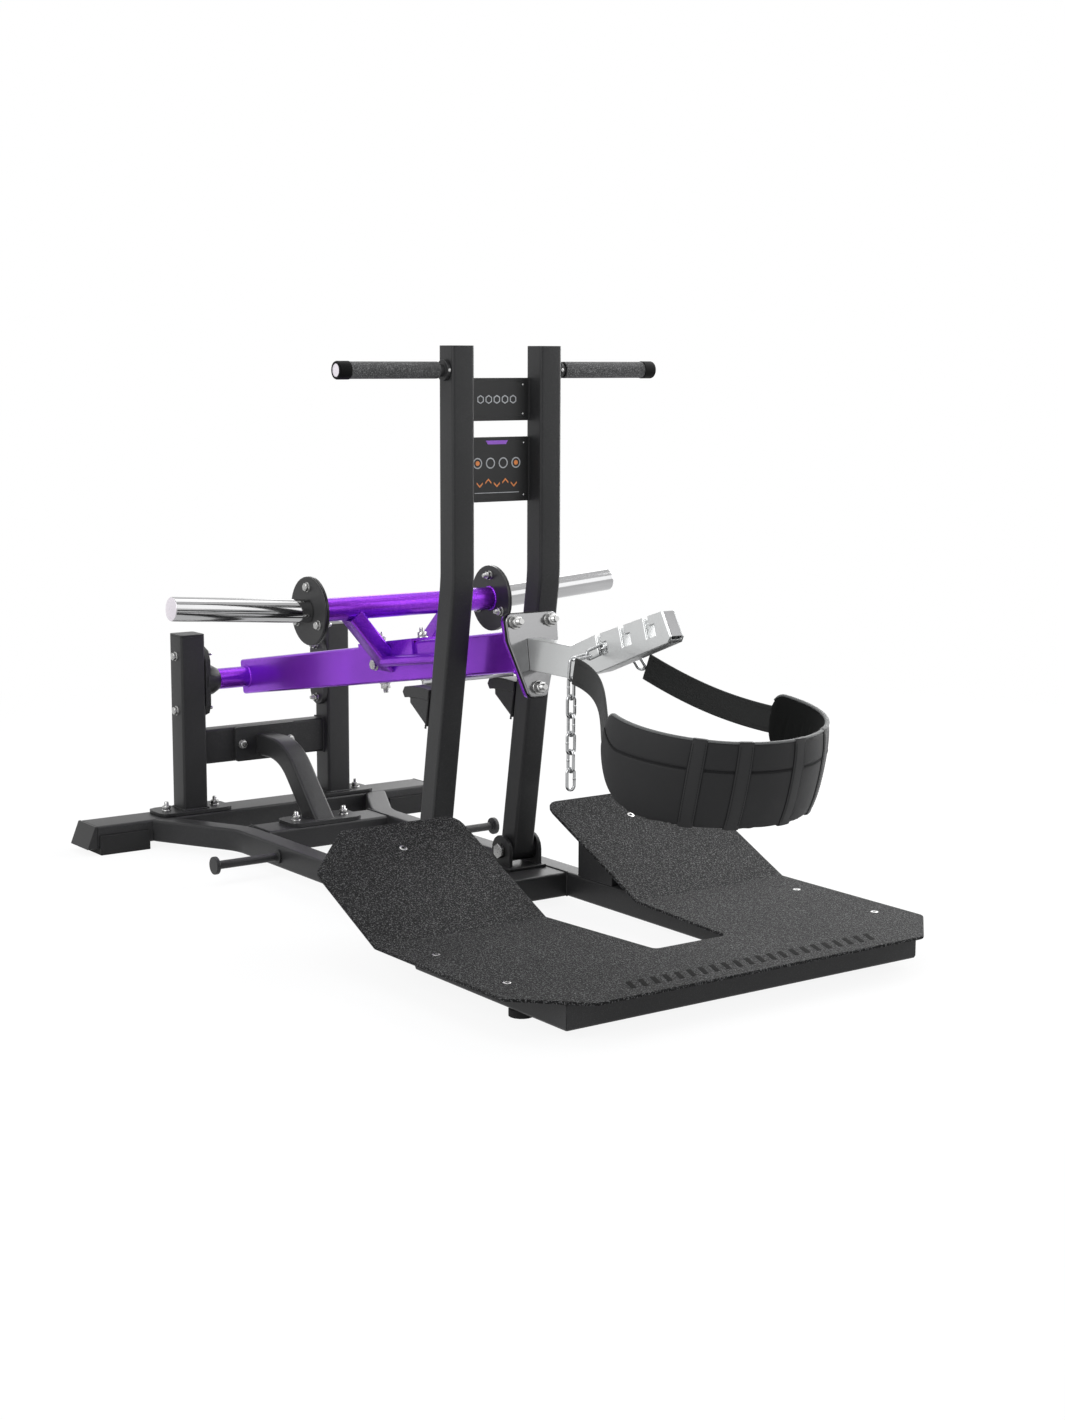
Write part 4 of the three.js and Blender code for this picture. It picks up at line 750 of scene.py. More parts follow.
def buildCollarScrews(bm):
    for side in (-1, 1):
        x = side * sum(handle["collarX"]) / 2
        r = mm(handle["screw"])
        profile = [(0, 0), (r, 0), (r, mm(0.9)), (r * 0.8, mm(1.4)), (r * 0.45, mm(1.4)),
                   (r * 0.4, mm(0.6)), (0, mm(0.6))]
        revolve(bm, profile, 18, frameFor(at(x, handle["y"] - handle["screwFace"], handle["z"]), front))


makePiece("collar_screws", "handle_frame", buildCollarScrews, "fastenerZinc")


def buildGripRings(bm):
    r = mm(handle["gripRadius"])
    proud = mm(handle["ringProud"])
    long = mm(handle["ringLength"])
    for side in (-1, 1):
        outward = left if side < 0 else right
        base = at(side * (handle["gripEnd"] - handle["ringLength"]), handle["y"], handle["z"])
        matrix = frameFor(base, outward)
        profile = [(r + mm(0.1), 0), (r + proud, mm(0.8)), (r + proud, long - mm(1)),
                   (r + proud - mm(1), long + mm(1.5)), (r - mm(3.5), long + mm(2)),
                   (r - mm(3.5), long + mm(0.1)), (r - mm(1), long + mm(0.05)), (r + mm(0.1), 0)]
        revolve(bm, profile, 40, matrix)


makePiece("grip_end_rings", "handle_frame", buildGripRings, "endCap")


def buildGripDiscs(bm):
    r = mm(handle["gripRadius"] - 3.6)
    for side in (-1, 1):
        outward = left if side < 0 else right
        matrix = frameFor(at(side * handle["gripEnd"], handle["y"], handle["z"]), outward)
        profile = [(0, 0), (r, 0), (r, mm(1.1)), (r * 0.9, mm(1.5)), (r * 0.3, mm(1.7)), (0, mm(1.7))]
        revolve(bm, profile, 36, matrix)


makePiece("grip_end_discs", "handle_frame", buildGripDiscs, "palePlug")

# Weight horns: pale plugs in their ends
hornPlug = {"end": 532, "y": 1160, "z": 585.5, "start": 228.6, "riseDegrees": 4.4, "radius": 23.2}


def buildHornPlugs(bm):
    v = hornPlug
    rise = math.radians(v["riseDegrees"])
    long = (v["end"] - v["start"]) / math.cos(rise)
    for side in (-1, 1):
        along = Vector((side * math.cos(rise), 0, math.sin(rise)))
        place = at(side * v["start"], v["y"], v["z"]) + along * mm(long)
        r = mm(v["radius"])
        profile = [(0, 0), (r, 0), (r, mm(0.7)), (r * 0.93, mm(1.5)), (r * 0.2, mm(1.9)),
                   (r * 0.14, mm(0.9)), (0, mm(0.9))]
        revolve(bm, profile, 44, frameFor(place, along))


makePiece("horn_plugs", "lever", buildHornPlugs, "palePlug")

# Signs: plain panels with generic marks
sign = {"face": 818, "half": 68, "bottom": 980, "top": 1048, "corner": 5, "thick": 0.8,
        "hexRadius": 8.5, "hexStep": 19, "hexCount": 5, "line": 2.2, "print": 0.35, "rivetInset": 6}
placard = {"half": 70, "bottom": 823, "top": 936, "tabHalf": 26, "tabHeight": 8, "tabSlant": 5,
           "ringZ": 892, "ringStep": 30, "ringCount": 4, "ringRadius": 10.5, "dotRadius": 4.6,
           "chevronZ": 852, "chevronStep": 20, "chevronHalf": 7, "chevronLine": 3.4,
           "baseZ": 834, "baseHalf": 52, "baseLine": 1.4}


def roundedCorners(half, bottom, top, radius, steps=5):
    points = []
    for cx, cz, start in ((half - radius, bottom + radius, -90), (half - radius, top - radius, 0),
                          (-half + radius, top - radius, 90), (-half + radius, bottom + radius, 180)):
        for k in range(steps + 1):
            turn = math.radians(start + 90 * k / steps)
            points.append((cx + radius * math.cos(turn), cz + radius * math.sin(turn)))
    return points


def addSheet(bm, outline, face, thick):  # a flat outline in X and Z, standing proud of a front face
    near = [bm.verts.new(at(x, face - thick, z)) for x, z in outline]
    far = [bm.verts.new(at(x, face + 0.05, z)) for x, z in outline]
    bm.faces.new(near)
    bm.faces.new(list(reversed(far)))
    joinRings(bm, [near, far])


def addRing(bm, outer, inner, face, thick):  # the same between two outlines of equal count
    near, far = face - thick, face + 0.05
    loops = [[bm.verts.new(at(x, y, z)) for x, z in outline]
             for outline, y in ((outer, near), (inner, near), (inner, far), (outer, far))]
    joinRings(bm, loops + loops[:1])


def polygon(cx, cz, radius, count, turn=0.0):
    turns = [2 * math.pi * k / count + turn for k in range(count)]
    return [(cx + radius * math.cos(t), cz + radius * math.sin(t)) for t in turns]


def buildPanels(bm):
    for panel in (sign, placard):
        outline = roundedCorners(panel["half"], panel["bottom"], panel["top"], sign["corner"])
        addSheet(bm, outline, sign["face"], sign["thick"])


makePiece("sign_panels", "handle_frame", buildPanels, "signCoat", 0.0003)


def buildRivets(bm):
    profile = [(0, 0), (mm(2.4), 0), (mm(2.2), mm(0.7)), (mm(1.2), mm(1.2)), (0, mm(1.3))]
    inset = sign["rivetInset"]
    for panel in (sign, placard):
        for x in (-panel["half"] + inset, panel["half"] - inset):
            for z in (panel["bottom"] + inset, panel["top"] - inset):
                revolve(bm, profile, 16, frameFor(at(x, sign["face"] - sign["thick"], z), front))


makePiece("sign_rivets", "handle_frame", buildRivets, "fastenerZinc")


def ringPlaces():
    return [(k - (placard["ringCount"] - 1) / 2) * placard["ringStep"] for k in range(placard["ringCount"])]


def buildGreyMarks(bm):
    face = sign["face"] - sign["thick"]
    middle = (sign["bottom"] + sign["top"]) / 2
    for k in range(sign["hexCount"]):
        x = (k - (sign["hexCount"] - 1) / 2) * sign["hexStep"]
        outer, inner = [polygon(x, middle, radius, 6, math.pi / 6)
                        for radius in (sign["hexRadius"], sign["hexRadius"] - sign["line"])]
        addRing(bm, outer, inner, face, sign["print"])
    for x in ringPlaces():
        outer, inner = [polygon(x, placard["ringZ"], radius, 32)
                        for radius in (placard["ringRadius"], placard["ringRadius"] - sign["line"])]
        addRing(bm, outer, inner, face, sign["print"])
    b, low = placard["baseHalf"], placard["baseZ"]
    high = low + placard["baseLine"]
    addSheet(bm, [(-b, low), (b, low), (b, high), (-b, high)], face, sign["print"])


makePiece("sign_grey_marks", "handle_frame", buildGreyMarks, "greyPrint")


def buildOrangeMarks(bm):
    face = sign["face"] - sign["thick"]
    for x in (ringPlaces()[0], ringPlaces()[-1]):
        addSheet(bm, polygon(x, placard["ringZ"], placard["dotRadius"], 24), face, sign["print"])
    half, z, line = placard["chevronHalf"], placard["chevronZ"], placard["chevronLine"]
    for k in range(5):
        x = (k - 2) * placard["chevronStep"]
        tip = half if k % 2 else -half
        outline = [(x - half, z), (x, z + tip), (x + half, z), (x + half, z + line), (x, z + tip + line),
                   (x - half, z + line)]
        addSheet(bm, outline, face, sign["print"])


makePiece("sign_orange_marks", "handle_frame", buildOrangeMarks, "orangePrint")


def buildPurpleTab(bm):
    half, slant = placard["tabHalf"], placard["tabSlant"]
    low, high = placard["top"] - placard["tabHeight"], placard["top"] - 0.6
    addSheet(bm, [(-half + slant, low), (half - slant, low), (half, high), (-half, high)],
             sign["face"] - sign["thick"], sign["print"])


makePiece("sign_purple_tab", "handle_frame", buildPurpleTab, "purplePrint")

# Deck: a plain row of slanted anti-slip marks along its front edge
deckMarks = {"count": 22, "span": 540, "y": 34, "depth": 36, "wide": 10, "slant": 15, "top": 71,
             "thick": 0.35}


def buildDeckMarks(bm):
    v = deckMarks
    step = v["span"] / (v["count"] - 1)
    for k in range(v["count"]):
        x = -v["span"] / 2 + k * step
        outline = [(x, v["y"]), (x + v["wide"], v["y"]), (x + v["wide"] + v["slant"], v["y"] + v["depth"]),
                   (x + v["slant"], v["y"] + v["depth"])]
        low = [bm.verts.new(at(a, b, v["top"] - 0.05)) for a, b in outline]
        high = [bm.verts.new(at(a, b, v["top"] + v["thick"])) for a, b in outline]
        bm.faces.new(high)
        bm.faces.new(list(reversed(low)))
        joinRings(bm, [low, high])


makePiece("deck_marks", "base", buildDeckMarks, "darkPrint")
print("finished the signs and the deck marks")

# Weld beads
bead = {"radius": 2.6, "thin": 2.2, "ripple": 0.22, "pitch": 4.5}
frameWelds = {"uprightX": 189, "rearY": 1780, "footTop": 73.5, "uprightHalf": 30, "barX": 158.6,
              "barY": 1790, "barZ": 210, "barHalf": (20, 40), "railX": 152.7, "railZ": (16, 65),
              "beams": ((788, 938), (1473, 1562))}


def addBead(bm, points, closed=True, radius=None):
    dense = []
    ends = points[1:] + points[:1] if closed else points[1:]
    for start, end in zip(points, ends):
        count = max(1, int((end - start).length / mm(bead["pitch"] / 3)))
        for k in range(count):
            dense.append(start.lerp(end, k / count))
    if not closed:
        dense.append(points[-1])
    size = mm(radius or bead["radius"])
    normal = Vector((0, 0, 1))
    spread = [place - dense[0] for place in dense]
    crossing = next((a.cross(b) for a in spread for b in spread if a.cross(b).length > 1e-6), None)
    if crossing is not None:
        normal = crossing.normalized()
    elif abs((dense[-1] - dense[0]).normalized().z) > 0.9:
        normal = Vector((0, 1, 0))

    def section(i):
        swell = 1 + bead["ripple"] * math.sin(2 * math.pi * i / 3)
        return roundSection(size * swell, 8)

    sweepSection(bm, alongPath(dense, closed, normal), section, closed)


def squareLoop(centre, first, second, halfFirst, halfSecond):
    return [centre + first * mm(a * halfFirst) + second * mm(b * halfSecond)
            for a, b in ((-1, -1), (1, -1), (1, 1), (-1, 1))]


def circleLoop(centre, first, second, radius, count=28):
    turns = [2 * math.pi * k / count for k in range(count)]
    return [centre + (first * math.cos(t) + second * math.sin(t)) * mm(radius) for t in turns]


def buildFrameWelds(bm):
    v = frameWelds
    low, high = v["railZ"]
    for side in (-1, 1):
        foot = at(side * v["uprightX"], v["rearY"], v["footTop"])
        addBead(bm, squareLoop(foot, right, back, v["uprightHalf"], v["uprightHalf"]))
        addBead(bm, squareLoop(at(side * v["barX"], v["barY"], v["barZ"]), back, up, *v["barHalf"]))
        x = side * v["railX"]
        for nearY, farY in v["beams"]:
            for y in (nearY, farY):
                addBead(bm, [at(x, y, low), at(x, y, high)], False, bead["thin"])
            addBead(bm, [at(x, nearY, high), at(x, farY, high)], False, bead["thin"])


makePiece("frame_welds", "base", buildFrameWelds, "blackCoat")

handleWelds = {"plateX": 76.7, "plateY": (817.6, 826.4), "plates": ((973, 1055), (817, 942)),
               "plateBead": 1.6, "uprightX": 102, "uprightHalf": 25, "catchLow": (879.5, 374),
               "catchHigh": (866, 440), "catchBead": 2.0}


def buildHandleWelds(bm):
    v = handleWelds
    for side in (-1, 1):
        x = side * v["plateX"]
        for low, high in v["plates"]:
            for y in v["plateY"]:
                addBead(bm, [at(x, y, low), at(x, y, high)], False, v["plateBead"])
        for edge in (-1, 1):
            x = side * v["uprightX"] + edge * v["uprightHalf"]
            addBead(bm, [at(x, *v["catchLow"]), at(x, *v["catchHigh"])], False, v["catchBead"])


makePiece("handle_welds", "handle_frame", buildHandleWelds, "blackCoat")

leverWelds = {"flange": (217.5, 1160, 585.5), "tube": 24, "tipBack": 1089.6, "tipBead": 2.8}


def buildLeverWelds(bm):
    v, half = leverWelds, lever["size"] / 2
    x, y, z = v["flange"]
    for side in (-1, 1):
        addBead(bm, circleLoop(at(side * x, y, z), back, up, v["tube"]))
        addBead(bm, circleLoop(onArm(side * half, 0, 0), armFront, armUp, v["tube"]))
    addBead(bm, squareLoop(onArm(0, -v["tipBack"], 0), right, armUp, half, half), radius=v["tipBead"])


makePiece("lever_welds", "lever", buildLeverWelds, "purpleCoat")

# The weight frame's side rods
tieRods = {"x": 57, "start": (1146, 471), "end": (915, 505), "radius": 11, "steps": 12}


def buildTieRods(bm):
    v = tieRods
    for side in (-1, 1):
        start, end = at(side * v["x"], *v["start"]), at(side * v["x"], *v["end"])
        dense = [start.lerp(end, k / v["steps"]) for k in range(v["steps"] + 1)]
        sweepSection(bm, alongPath(dense), lambda i: roundSection(mm(v["radius"]), 24))


makePiece("saddle_rods", "lever", buildTieRods, "purpleCoat", 0.0015)

# The dark sheet's edge that shows between the arm's plate and the tip plate
gasket = {"back": 1100.2, "front": 1095.6, "thick": 2.2}
tipShape = {"top": 72, "bottom": -90, "shoulder": 20, "topHalf": 61, "shoulderHalf": 58, "bottomHalf": 21,
            "round": 14}


def roundedOutline(corners, radius, steps=6):
    points = []
    count = len(corners)
    for i in range(count):
        here = Vector(corners[i])
        before, after = Vector(corners[i - 1]) - here, Vector(corners[(i + 1) % count]) - here
        half = before.angle(after) / 2
        reach = min(radius / math.tan(half), before.length * 0.49, after.length * 0.49)
        start, end = here + before.normalized() * reach, here + after.normalized() * reach
        for k in range(steps + 1):
            t = k / steps
            points.append(start * (1 - t) ** 2 + here * 2 * t * (1 - t) + end * t ** 2)
    return points


def buildGasket(bm):
    v = tipShape
    half = [(v["bottomHalf"], v["bottom"]), (v["shoulderHalf"], v["shoulder"]), (v["topHalf"], v["top"])]
    corners = half + [(-x, z) for x, z in reversed(half)]
    inner = roundedOutline(corners, v["round"])
    middle = sum(inner, Vector((0, 0))) / len(inner)
    outer = [p + (p - middle).normalized() * gasket["thick"] for p in inner]
    near, far = gasket["front"], gasket["back"]
    loops = [[bm.verts.new(onArm(p.x, -y, p.y)) for p in outline]
             for outline, y in ((outer, near), (outer, far), (inner, far), (inner, near))]
    joinRings(bm, loops + loops[:1])


makePiece("tip_gasket", "lever", buildGasket, "rubber", 0.0003)
print("laid the weld beads")

# Chain: separate smooth links
hook = {"riseY": 485, "riseZ": 590, "tipY": 284, "tipZ": 655, "firstY": 476, "footLength": 28, "depth": 39,
        "footHeight": 21, "settle": 0.7}
chain = {"wire": 6, "width": 22.5, "pitch": 35.5, "slack": 0.2, "tailLinks": 6, "tailPitch": 33.5,
         "arcSteps": 12, "collar": ((-2.2, 0.98), (-1.2, 1.1), (0, 1.14), (1.2, 1.1), (2.2, 0.98)),
         "leftRuns": ((-1, -0.1, -0.26), (-1, -0.12, -0.12), (-0.1, 0, -1)),
         "rightRuns": ((59, -8, -20), (59, -8, -90))}
hookRise = math.atan2(hook["tipZ"] - hook["riseZ"], hook["riseY"] - hook["tipY"])


def notchPlace(ahead, deep):
    y = hook["firstY"]
    z = hook["riseZ"] + (hook["riseY"] - y) * math.tan(hookRise)
    return Vector((0, y - ahead * math.cos(hookRise) - deep * math.sin(hookRise),
                   z + ahead * math.sin(hookRise) - deep * math.cos(hookRise)))


chainHold = notchPlace(hook["footLength"] / 2, hook["depth"] - hook["footHeight"] / 2 + hook["settle"])
linkRadius = (chain["width"] - chain["wire"]) / 2
notch = {"count": 3, "pitch": 73, "entry": 13, "half": 11.2, "thick": 1.2, "open": 0.4, "lip": 2}


def buildNotchLiners(bm):  # a folded strip lines each notch between the hook's side plates
    deep, foot, long = hook["depth"], hook["depth"] - hook["footHeight"], hook["footLength"]
    gap, thick, lip = notch["open"], notch["thick"], notch["lip"]
    for i in range(notch["count"]):
        inner, outer = [[(-g, lip), (-g, deep + g), (long + g, deep + g), (long + g, foot - g),
                         (notch["entry"] + g, foot - g), (notch["entry"] + g, lip)]
                        for g in (gap, gap + thick)]
        grid = []
        for x in (-notch["half"], notch["half"]):
            rows = []
            for line in (inner, outer):
                places = [notchPlace(ahead + notch["pitch"] * i, sunk) for ahead, sunk in line]
                rows.append([bm.verts.new(at(x, place.y, place.z)) for place in places])
            grid.append(rows)
        (nearIn, nearOut), (farIn, farOut) = grid
        for k in range(len(inner) - 1):
            bm.faces.new((nearIn[k], nearIn[k + 1], farIn[k + 1], farIn[k]))
            bm.faces.new((nearOut[k], farOut[k], farOut[k + 1], nearOut[k + 1]))
            bm.faces.new((nearIn[k], nearOut[k], nearOut[k + 1], nearIn[k + 1]))
            bm.faces.new((farIn[k], farIn[k + 1], farOut[k + 1], farOut[k]))
        for k in (0, len(inner) - 1):
            bm.faces.new((nearIn[k], farIn[k], farOut[k], nearOut[k]))


makePiece("hook_notch_liners", "lever", buildNotchLiners, "hookZinc", 0.0003)

nose = {"half": 11.3, "top": (284.3, 654.2), "bottom": (258.6, 612.3), "thick": 3.2}


def buildNose(bm):  # a plate closes the channel's front end
    top, bottom = Vector(nose["top"]), Vector(nose["bottom"])
    inward = Vector((-(bottom - top).y, (bottom - top).x)).normalized()
    inward = inward if inward.x > 0 else -inward
    outline = [top, bottom, bottom + inward * nose["thick"], top + inward * nose["thick"]]
    near, far = [[bm.verts.new(at(x, p.x, p.y)) for p in outline] for x in (-nose["half"], nose["half"])]
    bm.faces.new(near)
    bm.faces.new(list(reversed(far)))
    joinRings(bm, [near, far])


makePiece("hook_nose", "lever", buildNose, "platedSteel", 0.0006)


def sideLinks(side):
    joint = Vector((side * chain["pitch"] / 2, chainHold.y, chainHold.z))
    links = []
    for run in chain["leftRuns"] if side < 0 else chain["rightRuns"]:
        along = Vector(run).normalized()
        links.append((joint + along * chain["pitch"] / 2, along))
        joint = joint + along * chain["pitch"]
    return links


# The belt's pad is a band on an open oval, and the straps run from its ends to the chain
belt = {"halfWidth": 197, "halfDepth": 178, "y": 147, "rim": 494, "rimSlope": 0.15, "height": 153,
        "half": 7.2, "crown": 3.6, "openDegrees": 110, "shear": 0.25, "topRound": 24, "lowRound": 98,
        "lowReach": 150, "columns": 150, "rows": 26, "square": 3.2, "crowd": 0.12, "thinEnd": 0.35,
        "thinReach": 14, "lining": 0.35}
strap = {"height": 50, "thick": 4.6, "rim": 498, "drop": 30, "sunk": 5, "pull": 0.36, "steps": 44,
         "leftOut": 2, "leftStart": (0.12, -1, -0.2), "leftEnd": (0.5, 0.84, 0.42),
         "rightOut": 13.45, "rightStart": -0.5, "rightEnd": 0.12, "rightLean": 0.55}


def padPlace(degrees):
    turn = math.radians(degrees)
    return belt["halfWidth"] * math.sin(turn), belt["y"] - belt["halfDepth"] * math.cos(turn)


def padEnd(side):
    x, y = padPlace(belt["openDegrees"])
    z = strap["rim"] + belt["rimSlope"] * (y - belt["y"]) - strap["drop"] - strap["height"] / 2
    return Vector((side * x, y, z))


def strapDirection(side):
    run = padEnd(side) - sideLinks(side)[-1][0]
    run.z = 0
    return run.normalized()


def flattened(vector, normal):
    return (vector - normal * vector.dot(normal)).normalized()


def linkStations(centre, along, across, pitch):
    straight = (pitch + chain["wire"] + chain["slack"]) / 2 - linkRadius
    points = []
    for end in (1, -1):
        for k in range(chain["arcSteps"] + 1):
            turn = math.pi * (k / chain["arcSteps"] - 0.5)
            points.append(centre + along * end * (straight + linkRadius * math.cos(turn))
                          + across * end * linkRadius * math.sin(turn))
    return points


def addLink(bm, centre, along, across, pitch=chain["pitch"]):
    points = [at(*p) for p in linkStations(centre, along, across, pitch)]
    normal = along.cross(across).normalized()
    wire = mm(chain["wire"] / 2)
    sweepSection(bm, alongPath(points, True, normal), lambda i: roundSection(wire, 14), True)
    middle = centre + across * linkRadius  # the link's butt weld is a low collar on one long side
    collar = [at(*(middle + along * reach)) for reach, share in chain["collar"]]
    sweepSection(bm, alongPath(collar, False, normal),
                 lambda i: roundSection(wire * chain["collar"][i][1], 14))


def buildChain(bm):
    slope = Vector((0, -math.cos(hookRise), math.sin(hookRise)))
    addLink(bm, chainHold, Vector((1, 0, 0)), slope)
    across = Vector((0, 0, 1))
    for centre, along in sideLinks(-1):
        across = flattened(across, along)
        addLink(bm, centre, along, across)
        across = across.cross(along)
    for fromStrap, (centre, along) in enumerate(reversed(sideLinks(1))):
        across = flattened(strapDirection(1), along)
        if fromStrap % 2:
            across = across.cross(along)
        addLink(bm, centre, along, across)
    centre, along = sideLinks(-1)[-1]
    pitch = chain["tailPitch"]
    hang = centre + along * (chain["pitch"] + pitch) / 2
    across = Vector((0, 1, 0))
    for k in range(chain["tailLinks"]):
        addLink(bm, Vector((hang.x, hang.y, hang.z - pitch * k)), Vector((0, 0, 1)), across.copy(), pitch)
        across = across.cross(Vector((0, 0, 1)))


chainPiece = makePiece("belt_chain_links", "belt", buildChain, "chainZinc")
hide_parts("belt_chain")
print("hung the chain")


# Straps: flat webbing with rounded selvedges and sewn ends
def bezier(points, share):
    a, b, c, d = points
    rest = 1 - share
    return a * rest ** 3 + b * 3 * rest ** 2 * share + c * 3 * rest * share ** 2 + d * share ** 3


def bezierRun(points, share):
    a, b, c, d = points
    rest = 1 - share
    return (b - a) * 3 * rest ** 2 + (c - b) * 6 * rest * share + (d - c) * 3 * share ** 2


def strapRoute(side):
    leaving = strapDirection(side)
    centre, along = sideLinks(side)[-1]
    turn = math.radians(belt["openDegrees"])
    tangent = Vector((side * belt["halfWidth"] * math.cos(turn), belt["halfDepth"] * math.sin(turn), 0))
    tangent.normalize()
    finish = padEnd(side) - tangent * strap["sunk"]
    finish.y += belt["shear"] * (strap["drop"] + strap["height"] / 2)
    out = strap["leftOut"] if side < 0 else strap["rightOut"]
    start = centre + along * out + leaving * (chain["width"] / 2 + 0.4)
    pull = (finish - start).length * strap["pull"]
    if side < 0:
        leaving, arriving = Vector(strap["leftStart"]).normalized(), Vector(strap["leftEnd"]).normalized()
    else:
        leaving = (leaving + up * strap["rightStart"]).normalized()
        arriving = (tangent + up * strap["rightEnd"]).normalized()
    return [start, start + leaving * pull, finish + arriving * pull, finish]


def strapFrame(side, share):
    route = strapRoute(side)
    run = bezierRun(route, share).normalized()
    across = Vector((-run.y, run.x, 0)).normalized()
    upright = run.cross(across)
    upright = upright if upright.z > 0 else -upright
    blendIn = share * share * (3 - 2 * share)
    if side > 0:
        blendIn = strap["rightLean"] + (1 - strap["rightLean"]) * blendIn
    leaning = Vector((0, -belt["shear"], 1))
    return bezier(route, share), across, (upright * (1 - blendIn) + leaning * blendIn)


def setWeave(obj, values):  # values gives (along, across) in metres for each vertex
    for k, label in enumerate(("along", "across")):
        layer = obj.data.attributes.new(label, "FLOAT", "POINT")
        layer.data.foreach_set("value", [pair[k] for pair in values])


def makeStrap(side, word):
    half, thick = strap["height"] / 2, strap["thick"] / 2
    outline = [(thick * 0.45, -half), (thick, -half + 1.3), (thick * 0.86, -half + 3.2),
               (thick, -half + 5), (thick, 0), (thick, half - 5), (thick * 0.86, half - 3.2),
               (thick, half - 1.3), (thick * 0.45, half)]
    outline = outline + [(-a, b) for a, b in reversed(outline)]
    marks = []

    def build(bm):
        stations = []
        for k in range(strap["steps"] + 1):
            place, across, upright = strapFrame(side, k / strap["steps"])
            stations.append((at(*place), across, upright))
        rings = sweepSection(bm, stations, lambda i: [(mm(a), mm(b)) for a, b in outline])
        run = 0.0
        for i, ring in enumerate(rings):
            if i:
                run += (stations[i][0] - stations[i - 1][0]).length
            marks.extend((run, mm(b)) for a, b in outline)

    piece = makePiece("strap_" + word, "belt", build, "webbing")
    setWeave(piece, marks)
    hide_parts("belt_strap_" + word)


for side, word in ((-1, "left"), (1, "right")):
    makeStrap(side, word)

stitch = {"length": 3.2, "gap": 1.6, "radius": 0.4, "proud": 0.2, "cordRadius": 0.85, "level": 17,
          "ends": ((0.035, 0.13), (0.87, 0.985))}


def addStitches(bm, points, normals):  # short raised thread runs along a line of close points
    long = mm(stitch["length"])
    step = mm(stitch["length"] + stitch["gap"])
    run, target = 0.0, 0.0
    for i in range(1, len(points)):
        segment = points[i] - points[i - 1]
        size = segment.length
        while size > 0 and run + size >= target:
            start = points[i - 1] + segment * ((target - run) / size)
            way = segment.normalized()
            lift = normals[i].normalized()
            sunk, proud = lift * mm(0.5), lift * mm(stitch["proud"])
            thread = [start - sunk, start + way * long * 0.2 + proud, start + way * long * 0.8 + proud,
                      start + way * long - sunk]
            sweepSection(bm, alongPath(thread, False, lift), lambda k: roundSection(mm(stitch["radius"]), 6))
            target += step
        run += size


def buildStrapStitches(bm):
    for side in (-1, 1):
        for level in (-stitch["level"], stitch["level"]):
            for low, high in stitch["ends"]:
                for face in (-1, 1):
                    points, normals = [], []
                    for k in range(25):
                        place, across, upright = strapFrame(side, low + (high - low) * k / 24)
                        points.append(at(*(place + across * face * strap["thick"] / 2 + upright * level)))
                        normals.append(across * face)
                    addStitches(bm, points, normals)


makePiece("strap_stitches", "belt", buildStrapStitches, "seamThreadAndShadowLines")
print("sewed the straps")


# Belt pad: swollen between its bands, seam and bound edges
def endCut(reach, radius):  # how far a rounded corner cuts in, at a distance from the pad's end
    if reach >= radius:
        return 0.0
    return radius * (1 - math.sqrt(max(0.0, 1 - (1 - reach / radius) ** 2)))


def arcReach(degrees):
    return belt["halfWidth"] * math.radians(belt["openDegrees"] - abs(degrees))


def padLimits(degrees):
    reach = arcReach(degrees)
    low = endCut(reach, belt["lowReach"]) * belt["lowRound"] / belt["lowReach"]
    return endCut(reach, belt["topRound"]), belt["height"] - low


def padNormal(degrees):
    turn = math.radians(degrees)
    return Vector((math.sin(turn) * belt["halfDepth"], -math.cos(turn) * belt["halfWidth"], 0)).normalized()


def padPoint(degrees, drop, out):
    x, y = padPlace(degrees)
    normal = padNormal(degrees)
    z = belt["rim"] + belt["rimSlope"] * (y - belt["y"]) - drop
    return Vector((x, y + belt["shear"] * drop, z)) + normal * out


seam = {"drop": 51, "endDrop": 20, "turnReach": 70, "depth": 1.8, "width": 2.6, "endDegrees": 3,
        "pipeStep": 1.2, "threadStep": 0.7, "threadDrop": 2.4}
bands = {"degrees": (-45.5, -22.5, 9, 36), "half": 13, "proud": 1.7, "inside": 14, "columns": 9}


def seamDrop(degrees):
    share = min(1.0, arcReach(degrees) / seam["turnReach"])
    return seam["endDrop"] + (seam["drop"] - seam["endDrop"]) * math.sin(share * math.pi / 2)


def padEdge(share):  # 1 over most of the pad's height, falling to 0 at its rims
    reach = abs(2 * share - 1)
    return (1 - reach ** belt["square"]) ** 0.5 if reach < 1 else 0.0


def padBulge(share):  # the outer face's height over the pad's middle surface, at a share of its height
    edge = padEdge(share)
    return belt["half"] * edge + belt["crown"] * edge * (1 - (2 * share - 1) ** 2)


def buildPadShell(bm):
    columns, rows = belt["columns"], belt["rows"]
    rings = []
    for i in range(columns + 1):
        even = 2 * i / columns - 1
        crowded = even + belt["crowd"] * (math.sin(math.pi * even / 2) - even)
        degrees = belt["openDegrees"] * crowded * 0.9995  # just inside the ends, where the height is 0
        top, bottom = padLimits(degrees)
        thin = min(1.0, belt["thinEnd"] + arcReach(degrees) / belt["thinReach"])
        ring = []
        for row in range(rows + 1):
            share = (1 - math.cos(math.pi * row / rows)) / 2
            ring.append(at(*padPoint(degrees, top + (bottom - top) * share, padBulge(share) * thin)))
        for row in range(rows - 1, 0, -1):
            share = (1 - math.cos(math.pi * row / rows)) / 2
            inside = -belt["half"] * padEdge(share) * thin
            ring.append(at(*padPoint(degrees, top + (bottom - top) * share, inside)))
        rings.append([bm.verts.new(p) for p in ring])
    joinRings(bm, rings)
    for ring in (rings[0], rings[-1]):
        bm.faces.new(ring)


